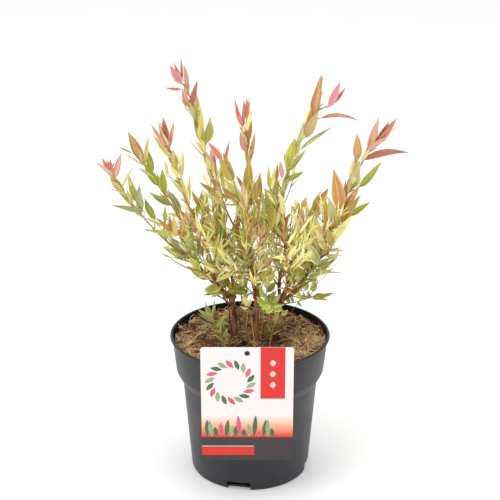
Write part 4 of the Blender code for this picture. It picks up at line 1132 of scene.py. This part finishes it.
def build_crown_part(part, crown, nodes):
    """One piece of leaves and one of twigs for a part of the crown, which stand for its solid nodes."""
    palette = crown.palette
    large = leaf_template((-1, -0.66, -0.08, 0.08, 0.66, 1), 7, 0.7, 0.1)
    small = leaf_template((-1, 0, 1), 4, 2, -1)
    sets = [leaf_arrays(large, crown.leaves)]
    if crown.fine_leaves:
        sets.append(leaf_arrays(small, crown.fine_leaves))
    mesh = mesh_from_arrays("leaves_" + part, *join_arrays(sets), palette.materials)
    mesh_object("leaves_" + part, mesh, nodes)
    lines = np.array([[tuple(point) for point in line] for line, _, _ in crown.lines])
    radii = np.array([radii for _, radii, _ in crown.lines])
    points, corners, totals, faces = tube_arrays(lines, radii, 5)
    rng = random.Random(SEED)
    tones = []
    for _, _, tone in crown.lines:
        if tone == "fine":
            tone = rng.choice(("tan", "olive", "tan", "olive", "brown"))
        steps = TWIG_RUNS.get(tone, (tone,) * TWIG_STEPS)
        tones += [palette.places[step][0] for step in steps for _ in range(5)]
        tones += [palette.places[steps[0]][0], palette.places[steps[-1]][0]]
    mesh = mesh_from_arrays("twigs_" + part, points, corners, totals, np.array(tones), palette.materials)
    mesh_object("twigs_" + part, mesh, nodes)


# Settings

class WillowPotSettings(bpy.types.PropertyGroup):
    """Finish of the pot, its coir and its card."""
    pot_colour: FloatVectorProperty(name="Pot colour", description="Colour of the moulded plastic",
                                    subtype="COLOR", size=3, min=0, max=1, default=(0.020, 0.020, 0.023))
    coir_strands: IntProperty(name="Coir strands", description="Number of loose fibres on the mulch",
                              default=14500, min=100, max=16000)
    strand_radius: FloatProperty(name="Strand radius", description="Half thickness of one fibre",
                                 default=0.00025, min=0.0001, max=0.001, unit="LENGTH")
    card_red: FloatVectorProperty(name="Card red", description="Red of the printed panels", subtype="COLOR",
                                  size=3, min=0, max=1, default=srgb((212, 42, 32)))
    card_dark: FloatVectorProperty(name="Card dark", description="Dark tone of the printed foot",
                                   subtype="COLOR", size=3, min=0, max=1, default=srgb((58, 48, 49)))


class WillowPlantSettings(bpy.types.PropertyGroup):
    """Bark and leaves."""
    bark_light: FloatVectorProperty(name="Light bark", description="Raised parts of the bark",
                                    subtype="COLOR", size=3, min=0, max=1, default=srgb((172, 126, 82)))
    bark_dark: FloatVectorProperty(name="Dark bark", description="Furrows of the bark", subtype="COLOR",
                                   size=3, min=0, max=1, default=srgb((72, 38, 22)))


class WillowStageSettings(bpy.types.PropertyGroup):
    """Camera and light."""
    lens: FloatProperty(name="Lens", description="Focal length of the camera in millimetres",
                        default=CAMERA_LENS,
                        min=10, max=300)
    camera_height: FloatProperty(name="Camera height", description="Height of the camera above the floor",
                                 default=CAMERA_HEIGHT, unit="LENGTH")
    camera_distance: FloatProperty(name="Camera distance", description="Distance in front of the pot",
                                   default=CAMERA_DISTANCE, unit="LENGTH")
    world_light: FloatProperty(name="World light", description="Strength of the even white light",
                               default=1.0, min=0, max=5)


class WillowSettings(bpy.types.PropertyGroup):
    """All settings of the potted willow."""
    pot: PointerProperty(name="Pot", description="Pot, coir and card", type=WillowPotSettings)
    plant: PointerProperty(name="Plant", description="Bark and leaves", type=WillowPlantSettings)
    stage: PointerProperty(name="Stage", description="Camera and light", type=WillowStageSettings)


# Operators

def inner_radius(height):
    """Radius of the inside of the pot's straight lower wall at a height."""
    return FOOT_RADIUS + (BODY_TOP_RADIUS - FOOT_RADIUS) * height / BODY_TOP_HEIGHT - WALL


def pot_outline():
    """The pot's wall: outer side from the foot up, over the rim, and down the inside."""
    step_rise = COLLAR_FOOT_HEIGHT - BODY_TOP_HEIGHT
    step_reach = COLLAR_FOOT_RADIUS - BODY_TOP_RADIUS
    shares = [step / STEP_POINTS for step in range(STEP_POINTS + 1)]
    step = [(BODY_TOP_RADIUS + step_reach * share * (1 + STEP_BULGE - STEP_BULGE * share),
             BODY_TOP_HEIGHT + step_rise * share) for share in shares]
    bead_height = (POT_HEIGHT - COLLAR_TOP_HEIGHT) / 2
    bead_reach = (RIM_RADIUS - COLLAR_TOP_RADIUS + WALL) / 2
    bead = [(RIM_RADIUS - bead_reach + bead_reach * math.cos(math.radians(turn)),
             POT_HEIGHT - bead_height + bead_height * math.sin(math.radians(turn))) for turn in BEAD_TURNS]
    corner = [(FOOT_RADIUS - FOOT_CORNER * (1 - math.sin(math.radians(turn))),
               FOOT_CORNER * (1 - math.cos(math.radians(turn)))) for turn in (0, 30, 60, 90)]
    outer = [(0, 0), (FOOT_RADIUS * 0.6, 0)] + corner + step + [(COLLAR_TOP_RADIUS, COLLAR_TOP_HEIGHT)] + bead
    inner = [(COLLAR_TOP_RADIUS - WALL, COLLAR_TOP_HEIGHT)]
    inner += [(radius - WALL, height) for radius, height in reversed(step)]
    inner += [(inner_radius(FLOOR), FLOOR), (0, FLOOR)]
    return outer + inner


def spun(profile, segments):
    """An outline of (radius, height) points spun once round Z, welded at its seam and its axis."""
    shape = bmesh.new()
    points = [shape.verts.new((radius, 0, height)) for radius, height in profile]
    edges = [shape.edges.new(pair) for pair in zip(points, points[1:])]
    bmesh.ops.spin(shape, geom=points + edges, cent=(0, 0, 0), axis=(0, 0, 1),
                   angle=math.tau, steps=segments, use_merge=True)
    bmesh.ops.remove_doubles(shape, verts=shape.verts, dist=1e-6)
    bmesh.ops.recalc_face_normals(shape, faces=shape.faces)
    return shape


class WILLOW_OT_pot(bpy.types.Operator):
    """Turn the nursery pot and cut its foot notches"""
    bl_idname = "willow.pot"
    bl_label = "Pot"

    def execute(self, context):
        settings = context.scene.willow.pot
        made = mesh_object("pot_shell", mesh_from_bmesh("pot_shell", spun(pot_outline(), POT_SEGMENTS)),
                           ("pot",))
        cuts = bmesh.new()
        for quarter in range(4):
            turn = Matrix.Rotation(math.radians(NOTCH_BEARING + 90 * quarter), 4, "Z")
            reach = (NOTCH_DEPTH_RADIUS + 2 * FOOT_RADIUS) / 2
            size = (2 * FOOT_RADIUS - NOTCH_DEPTH_RADIUS, NOTCH_WIDTH, 2 * NOTCH_HEIGHT, 1)
            bmesh.ops.create_cube(cuts, size=1, matrix=turn @ Matrix.Translation((reach, 0, 0))
                                  @ Matrix.Diagonal(size))
        upright = [edge for edge in cuts.edges if abs((edge.verts[0].co - edge.verts[1].co).z) < MM]
        bmesh.ops.bevel(cuts, geom=upright, affect="EDGES", offset=1.2 * MM, segments=3, profile=0.5,
                        material=-1)
        cutter = bpy.data.objects.new("cutter", mesh_from_bmesh("cutter", cuts))
        context.scene.collection.objects.link(cutter)
        cut = made.modifiers.new("notches", "BOOLEAN")
        cut.object = cutter
        cut.operation = "DIFFERENCE"
        context.view_layer.update()
        mesh = bpy.data.meshes.new_from_object(made.evaluated_get(context.evaluated_depsgraph_get()))
        made.modifiers.remove(cut)
        made.data = mesh
        bpy.data.objects.remove(cutter)
        mesh.materials.clear()
        base = tuple(settings.pot_colour)
        mesh.materials.append(mottled_material(
            "moulded_pot_plastic", base, shade(base, 0.86), 900, (1, 1, 0.25), shiny=0.38, dull=0.48,
            gloss_scale=25, bump=0.12, bump_depth=0.00012, specular=0.36))
        # A far darker copy of the plastic for the inside of the wall: painted shade, for the shadow that fills the
        # pot's inside.
        mesh.materials.append(mottled_material(
            "painted_shade_pot_inside", shade(base, 0.3), shade(base, 0.2), 900, (1, 1, 0.25), shiny=0.55, dull=0.7,
            gloss_scale=25, bump=0.12, bump_depth=0.00012, specular=0.15))
        # Inward-facing faces of the wall above the floor take the darker copy: painted shade.
        for face in mesh.polygons:
            outwards = face.normal.x * face.center.x + face.normal.y * face.center.y
            if outwards < 0 and face.center.z > FLOOR and math.hypot(*face.center.xy) < RIM_RADIUS - 3 * MM:
                face.material_index = 1
        mesh.shade_smooth()
        mesh.set_sharp_from_angle(angle=math.radians(40))
        black, peat = (0.012, 0.012, 0.013), (0.030, 0.020, 0.013)
        clip_finish = mottled_material("label_clip_finish", black, shade(black, 0.8), 1200, shiny=0.35,
                                       dull=0.45, bump=0.1, bump_depth=0.0001)
        peat_finish = mottled_material("compost_finish", peat, shade(peat, 0.5), 500, shiny=0.9, dull=1.0,
                                       bump=0.8, bump_depth=0.002)
        for name, finish in (("label_clip", clip_finish), ("compost", peat_finish)):
            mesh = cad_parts[name].data
            mesh.materials.clear()
            mesh.materials.append(finish)
        return {"FINISHED"}


class WILLOW_OT_coir(bpy.types.Operator):
    """Make the coir mulch: a lumpy bed under thousands of loose curled strands"""
    bl_idname = "willow.coir"
    bl_label = "Coir"

    def execute(self, context):
        settings = context.scene.willow.pot
        profile = [(0, COIR_BOTTOM), (COIR_RADIUS - MM, COIR_BOTTOM), (COIR_RADIUS, COIR_BOTTOM + 4 * MM)]
        profile += [(COIR_RADIUS * (1 - ring / COIR_RINGS) ** 0.8, COIR_TOP) for ring in range(COIR_RINGS + 1)]
        bed = spun(profile, COIR_SEGMENTS)
        for vert in bed.verts:
            if vert.co.z > COIR_TOP - 1e-6:
                bumps = noise.fractal(vert.co * 110, 0.6, 2.1, 4)
                vert.co.z = coir_height(vert.co.x, vert.co.y) - 2.2 * MM + 2.2 * MM * bumps
        mesh = mesh_from_bmesh("coir_bed", bed, 75)
        mesh.materials.append(mottled_material(
            "coir_bed", srgb((66, 42, 25)), srgb((20, 12, 7)), 260, shiny=0.85, dull=1.0,
            bump=1.0, bump_depth=0.003))
        mesh_object("coir_bed", mesh, ("coir",))
        rng = random.Random(SEED + 40)
        lines, tones, radii = [], [], []
        palette = Palette()
        places = palette.places["coir"]
        for _ in range(settings.coir_strands):
            radius = COIR_WALL_RADIUS * 0.99 * math.sqrt(rng.random())
            bearing = rng.uniform(0, math.tau)
            place = Vector((radius * math.cos(bearing), radius * math.sin(bearing), 0))
            patch = noise.fractal(place * 46, 0.8, 2.2, 3)
            if rng.random() > 0.85 + 1.4 * patch:
                continue
            heading = rng.uniform(0, math.tau)
            curl = rng.gauss(0, 0.8)
            length = rng.uniform(6, 22) * MM
            fluff = max(0.0, (radius - 0.05) / 0.03) * (0.6 - 0.4 * math.sin(bearing + 0.35)) * 2.4
            lift = abs(rng.gauss(0, 1.6 + fluff)) * MM
            rise = rng.gauss(0.05 + 0.1 * fluff, 0.25)
            line = []
            height = coir_height(place.x, place.y) - 0.6 * MM + lift
            for step in range(STRAND_POINTS):
                line.append((place.x, place.y, height))
                place = place + Vector((math.cos(heading), math.sin(heading), 0)) * length / STRAND_POINTS
                reach = math.hypot(place.x, place.y)
                if reach > COIR_WALL_RADIUS:
                    place *= COIR_WALL_RADIUS / reach
                heading += curl + rng.gauss(0, 0.35)
                height += (rise + rng.gauss(0, 0.16)) * length / STRAND_POINTS
                floor = coir_height(place.x, place.y) - 1.0 * MM
                height = min(max(height, floor), floor + 12 * MM)
                rise -= 0.12
            lines.append(line)
            # Each strand's tone: random patches and spread, and strands lifted off the bed are drawn lighter;
            # painted light and shade: strands nearer the rim and further to the right are drawn lighter, and those
            # in the middle, under the crown, darker.
            light = 4.8 * patch + rng.gauss(0, 1.8) + lift / MM * 0.4 + 1.3 + 14 * radius + 4 * place.x
            tone = min(5, max(0, int(light)))
            thick = settings.strand_radius * rng.uniform(0.6, 1.2) * (1 + 0.06 * tone)
            radii.append([thick] * (STRAND_POINTS - 1) + [thick * 0.4])
            tones.append(places[tone])
        for name, half in (("coir_strands_a", slice(0, None, 2)), ("coir_strands_b", slice(1, None, 2))):
            points, corners, totals, faces = tube_arrays(lines[half], radii[half], 3)
            mesh = mesh_from_arrays(name, points, corners, totals, np.repeat(tones[half], faces),
                                    palette.materials, 80)
            mesh_object(name, mesh, ("coir",))
        return {"FINISHED"}


def card_place():
    """The card's own axes: origin at the middle of its top edge on its front face, facing -Y."""
    back = Matrix.Translation((CARD_X, CARD_BACK_AT_TOP, CARD_TOP)) @ Matrix.Rotation(CARD_TILT, 4, "X")
    return back @ Matrix.Translation((0, -CARD_THICKNESS, 0))


class WILLOW_OT_card(bpy.types.Operator):
    """Make the printed label card with plain panels, a ring and a row of painted leaves"""
    bl_idname = "willow.card"
    bl_label = "Label card"

    def execute(self, context):
        settings = context.scene.willow.pot
        red, dark = tuple(settings.card_red), tuple(settings.card_dark)
        white = srgb((228, 221, 219))
        finishes = [
            mottled_material("card_stock", white, shade(white, 0.97), 60, shiny=0.30, dull=0.38, bump=0.05),
            mottled_material("card_red", red, shade(red, 0.94), 60, shiny=0.28, dull=0.36, bump=0.05),
            mottled_material("card_dark", dark, shade(dark, 0.9), 60, shiny=0.28, dull=0.36, bump=0.05),
            self.fading(white, red)]
        shape = bmesh.new()
        half = CARD_WIDTH / 2
        outline = []
        for x, z, turn in [(half, 0, 0), (half, -CARD_HEIGHT, 270), (-half, -CARD_HEIGHT, 180), (-half, 0, 90)]:
            middle = Vector((x - math.copysign(CARD_CORNER, x), 0, z + (CARD_CORNER if z < 0 else -CARD_CORNER)))
            for step in (90, 72, 54, 36, 18, 0):
                angle = math.radians(turn + step)
                outline.append(middle + CARD_CORNER * Vector((math.cos(angle), 0, math.sin(angle))))
        front = shape.faces.new([shape.verts.new(point) for point in outline])
        if front.normal.y > 0:
            front.normal_flip()
        # Panels: finish, then left, right, low and high edge in millimetres from the middle of the top edge
        panels = [(1, 15, 43, -66, 0), (3, -53, 53, -117, -82), (2, -53, 53, -149, -117),
                  (0, -53, 8, -129.4, -128.6), (1, -53, 8, -141, -130)]
        for _, left, right, low, high in panels:
            for place, way in (((left, 0, 0), (1, 0, 0)), ((right, 0, 0), (1, 0, 0)),
                               ((0, 0, low), (0, 0, 1)), ((0, 0, high), (0, 0, 1))):
                bmesh.ops.bisect_plane(shape, geom=shape.verts[:] + shape.edges[:] + shape.faces[:],
                                       plane_co=Vector(place) * MM, plane_no=way)
        for face in shape.faces:
            middle = face.calc_center_median() / MM
            for finish, left, right, low, high in panels:
                if left < middle.x < right and low < middle.z < high:
                    face.material_index = finish
        fronts = shape.faces[:]
        grown = bmesh.ops.extrude_face_region(shape, geom=fronts, use_keep_orig=True)["geom"]
        moved = [part for part in grown if isinstance(part, bmesh.types.BMVert)]
        bmesh.ops.translate(shape, verts=moved, vec=(0, CARD_THICKNESS, 0))
        for face in shape.faces:
            if face not in fronts:
                face.material_index = 0
        bmesh.ops.recalc_face_normals(shape, faces=shape.faces)
        shape.transform(card_place())
        mesh = mesh_from_bmesh("printed_card", shape, 30)
        for finish in finishes:
            mesh.materials.append(finish)
        mesh_object("printed_card", mesh, ("label_card",))
        self.painted_leaves()
        return {"FINISHED"}

    @staticmethod
    def fading(white, red):
        """Print that fades from white down to red over the height of its panel."""
        made = mottled_material("card_fade", white, white, 60, shiny=0.28, dull=0.36, bump=0.05)
        nodes, link = made.node_tree.nodes, made.node_tree.links.new
        place = nodes.new("ShaderNodeTexCoord")
        split = nodes.new("ShaderNodeSeparateXYZ")
        link(place.outputs["Object"], split.inputs[0])
        ramp = nodes.new("ShaderNodeMapRange")
        ramp.inputs["From Min"].default_value = CARD_TOP - 88 * MM
        ramp.inputs["From Max"].default_value = CARD_TOP - 116 * MM
        link(split.outputs["Z"], ramp.inputs["Value"])
        mix = nodes.new("ShaderNodeValToRGB")
        mix.color_ramp.elements[0].color = (*white, 1)
        mix.color_ramp.elements[1].color = (*red, 1)
        middle = mix.color_ramp.elements.new(0.5)
        middle.color = (*srgb((250, 168, 128)), 1)
        link(ramp.outputs["Result"], mix.inputs["Fac"])
        link(mix.outputs["Color"], nodes["Principled BSDF"].inputs["Base Color"])
        return made

    @staticmethod
    def painted_leaves():
        """Simple leaves in green and pink: a ring on the white, and a row along the dark foot."""
        tones = [("painted_green", (66, 112, 66)), ("painted_pale", (150, 172, 128)),
                 ("painted_pink", (226, 92, 120)), ("painted_rose", (250, 206, 198))]
        shape = bmesh.new()
        fan = []
        for step in range(18):
            turn = 20 * step
            at_x = -19 + 19 * math.cos(math.radians(turn))
            at_z = -45 + 19 * math.sin(math.radians(turn))
            fan.append(((0, 2, 1)[step % 3], at_x, at_z, 40 - turn, 13, 5.6))
        for step in range(15):
            tall = 19 + 8 * math.sin(2.1 * step) + 4 * math.cos(3.7 * step)
            fan.append(((0, 1, 0, 2)[step % 4], -46 + 5.4 * step, -116.6, 9 * math.sin(5.3 * step), tall, 5.6))
        fan += [(3, 29, z, 0, 8, 7) for z in (-24, -38, -52)]
        for number, (tone, x, z, lean, length, width) in enumerate(fan):
            made = bmesh.ops.create_circle(shape, cap_ends=True, segments=14, radius=0.5)["verts"]
            for vert in made:
                share = vert.co.y + 0.5
                vert.co.x *= width * MM * (0.45 + 0.55 * math.sin(math.pi * share))
                vert.co = (vert.co.x, 0, share * length * MM)
            place = Matrix.Translation(Vector((x, 0, z)) * MM) @ Matrix.Rotation(math.radians(lean), 4, "Y")
            bmesh.ops.transform(shape, matrix=place, verts=made)
            lift = (0.03 + 0.004 * number) * MM
            faces = list({face for vert in made for face in vert.link_faces})
            for face in faces:
                face.material_index = tone
            grown = bmesh.ops.extrude_face_region(shape, geom=faces, use_keep_orig=True)["geom"]
            top = [part for part in grown if isinstance(part, bmesh.types.BMVert)]
            bmesh.ops.translate(shape, verts=top, vec=(0, -lift, 0))
            for face in {face for vert in top for face in vert.link_faces}:
                face.material_index = tone
        bmesh.ops.recalc_face_normals(shape, faces=shape.faces)
        shape.transform(card_place() @ Matrix.Translation((0, -0.005 * MM, 0)))
        mesh = mesh_from_bmesh("painted_leaves", shape, 30)
        for name, colour in tones:
            mesh.materials.append(mottled_material(name, srgb(colour), shade(srgb(colour), 0.75), 300,
                                                   (1, 1, 0.3), shiny=0.28, dull=0.36, bump=0.05))
        mesh_object("painted_leaves", mesh)


class WILLOW_OT_limbs(bpy.types.Operator):
    """Grow the stems and boughs with their bark relief"""
    bl_idname = "willow.limbs"
    bl_label = "Stems and boughs"

    def execute(self, context):
        settings = context.scene.willow.plant
        limbs = lay_out_limbs()
        light, dark = Vector(settings.bark_light), Vector(settings.bark_dark)
        casts = {"left": (1.0, 0.83, 0.7), "centre": (1.05, 1.05, 0.8), "right": (1.05, 0.94, 0.82)}
        finishes = [mottled_material(
            "bark_" + side, tuple(light * Vector(cast)), tuple(dark * Vector(cast)), 170, (1, 1, 0.3),
            0.38, 0.62, shiny=0.6, dull=0.85, bump=0.7, bump_depth=0.0006) for side, cast in casts.items()]
        for group in ("stem", "bough"):
            parts = []
            sides = 16 if group == "stem" else 12
            for name, (points, radii) in limbs.items():
                if not name.startswith(group):
                    continue
                if group == "stem":
                    points = [points[0] - Vector((0, 0, 4 * MM))] + points
                    radii = [radii[0]] + radii
                steps = max(12, int(length_of(points) / (1.6 * MM)))
                line = resampled(points, steps)
                base = np.interp(np.linspace(0, 1, steps + 1), np.linspace(0, 1, len(radii)), radii)
                ring = []
                for step, (point, radius) in enumerate(zip(line, base)):
                    row = []
                    for side in range(sides):
                        turn = math.tau * side / sides
                        spot = Vector((math.cos(turn) * 1.4, math.sin(turn) * 1.4, point.z * 60))
                        fine = noise.noise(spot * 4 + Vector((9, 0, 0)))
                        relief = 0.10 * noise.noise(spot * 1.3) + 0.05 * fine
                        node = 0.16 * max(0.0, math.cos(point.z * 420 + len(name))) ** 12
                        row.append(radius * (1 + relief + node))
                    ring.append(row)
                tube = tube_arrays([[tuple(p) for p in line]], [ring], sides)
                parts.append((*tube[:3], np.full(tube[3], self.cast_of(name, casts))))
            for name, (points, radii) in limbs.items():
                if name.startswith(group):
                    knot = (STEM_HEAD_RADIUS if group == "stem" else BOUGH_KNOT_RADIUS) * MM * 0.92
                    parts.append(self.knot(points[-1], knot, self.cast_of(name, casts)))
            mesh = mesh_from_arrays(group + "s_bark", *join_arrays(parts), finishes, 70)
            mesh_object(group + "s_bark", mesh, [name for name in limbs if name.startswith(group)])
        return {"FINISHED"}

    @staticmethod
    def cast_of(name, casts):
        """The number of the bark finish whose word stands in the limb's name."""
        return [place for place, word in enumerate(casts) if word in name][0]

    @staticmethod
    def knot(place, radius, finish):
        """A lumpy swelling where limbs part, as arrays."""
        shape = bmesh.new()
        bmesh.ops.create_icosphere(shape, subdivisions=3, radius=radius)
        for vert in shape.verts:
            vert.co *= 1 + 0.22 * noise.noise(vert.co * 300 + place * 50)
        bmesh.ops.translate(shape, verts=shape.verts, vec=place)
        shape.verts.index_update()
        points = np.array([vert.co for vert in shape.verts])
        corners = np.array([vert.index for face in shape.faces for vert in face.verts])
        totals = np.full(len(shape.faces), 3)
        shape.free()
        return points, corners, totals, np.full(len(totals), finish)


class WILLOW_OT_foliage(bpy.types.Operator):
    """Grow the shoots with their twigs and leaves"""
    bl_idname = "willow.foliage"
    bl_label = "Foliage"

    def execute(self, context):
        palette = Palette()
        limbs = lay_out_limbs()
        shoots = lay_out_shoots(limbs)
        parts = {part: (Crown(palette), []) for part in ("left", "centre", "right", "back", "soil")}
        for number, (name, (axis, branches, tones)) in enumerate(shoots.items()):
            crown, nodes = parts[self.part_of(name)]
            grow_shoot(crown, name, axis, branches, tones, random.Random(SEED * 1000 + number))
            nodes.append(name)
        for number, (name, (points, _)) in enumerate(limbs.items()):
            if name.startswith("bough"):
                grow_bough(parts[self.part_of(name)][0], name, points, random.Random(SEED * 2000 + number))
        for number, (name, places) in enumerate(THIN_SHOOTS):
            grow_thin_shoot(parts[self.part_of(name)][0], name, places, random.Random(SEED * 4000 + number))
        rng = random.Random(SEED * 3000)
        for tone, radius, places in BARE_TWIGS:
            line = [vector(place) for place in places]
            if len(line) == 2:
                leave = Vector((rng.uniform(-0.3, 0.3), rng.uniform(-0.3, 0.3), 1))
                line = curve(line[0], leave, line[1], line[1] - line[0], 7)
            parts["soil"][0].twig(smoothed(line), radius, radius * 0.6, tone)
        for part, (crown, nodes) in parts.items():
            build_crown_part(part, crown, nodes)
        return {"FINISHED"}

    @staticmethod
    def part_of(name):
        if "soil" in name:
            return "soil"
        if "back" in name:
            return "back"
        for part in ("left", "centre", "right"):
            if part in name:
                return part
        return "centre"


class WILLOW_OT_stage(bpy.types.Operator):
    """Set the floor, the soft lights and the camera"""
    bl_idname = "willow.stage"
    bl_label = "Stage"

    def execute(self, context):
        settings = context.scene.willow.stage
        shape = bmesh.new()
        bmesh.ops.create_grid(shape, x_segments=1, y_segments=1, size=8)
        floor = bpy.data.objects.new("studio_floor", mesh_from_bmesh("studio_floor", shape))
        context.scene.collection.objects.link(floor)
        white = (0.97, 0.97, 0.97)
        floor.data.materials.append(mottled_material("studio_floor", white, shade(white, 0.985), 3,
                                                     shiny=0.35, dull=0.45, bump=0, specular=0.25))
        world = bpy.data.worlds.new("studio")
        context.scene.world = world
        world.use_nodes = True
        sky = world.node_tree.nodes["Background"]
        sky.inputs["Color"].default_value = (1, 1, 1, 1)
        sky.inputs["Strength"].default_value = settings.world_light
        for name, place, size, power in LIGHTS:
            lamp = bpy.data.lights.new(name, "AREA")
            lamp.shape = "SQUARE"
            lamp.size = size
            lamp.energy = power
            made = bpy.data.objects.new(name, lamp)
            context.scene.collection.objects.link(made)
            made.location = place
            made.rotation_euler = (Vector((0, 0, 0.2)) - Vector(place)).to_track_quat("-Z", "Y").to_euler()
        camera = bpy.data.cameras.new("camera")
        camera.lens = settings.lens
        camera.sensor_width = SENSOR_WIDTH
        made = bpy.data.objects.new("camera", camera)
        context.scene.collection.objects.link(made)
        made.location = (0, -settings.camera_distance, settings.camera_height)
        made.rotation_euler = (math.radians(90 - CAMERA_PITCH), 0, 0)
        context.scene.camera = made
        context.scene.view_settings.view_transform = "Standard"
        return {"FINISHED"}


class WILLOW_PT_panel(bpy.types.Panel):
    """Lists the pieces of the potted willow"""
    bl_idname = "WILLOW_PT_panel"
    bl_label = "Potted willow"
    bl_space_type = "VIEW_3D"
    bl_region_type = "UI"
    bl_category = "Willow"

    def draw(self, context):
        for operator in OPERATORS:
            self.layout.operator(operator.bl_idname)
        for group in ("pot", "plant", "stage"):
            settings = getattr(context.scene.willow, group)
            for name in settings.__annotations__:
                self.layout.prop(settings, name)


OPERATORS = (WILLOW_OT_pot, WILLOW_OT_coir, WILLOW_OT_card, WILLOW_OT_limbs, WILLOW_OT_foliage, WILLOW_OT_stage)
SETTINGS = (WillowPotSettings, WillowPlantSettings, WillowStageSettings, WillowSettings)


def register():
    """Register the settings, the operators and the panel."""
    for made in SETTINGS + OPERATORS + (WILLOW_PT_panel,):
        bpy.utils.register_class(made)
    bpy.types.Scene.willow = PointerProperty(name="Willow", description="Settings of the potted willow",
                                             type=WillowSettings)


def unregister():
    """Take back what register added."""
    del bpy.types.Scene.willow
    for made in reversed(SETTINGS + OPERATORS + (WILLOW_PT_panel,)):
        bpy.utils.unregister_class(made)


def main():
    """Register the add-on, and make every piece."""
    register()
    for operator in OPERATORS:
        getattr(bpy.ops.willow, operator.bl_idname.split(".")[1])()


if __name__ == "__main__":
    main()
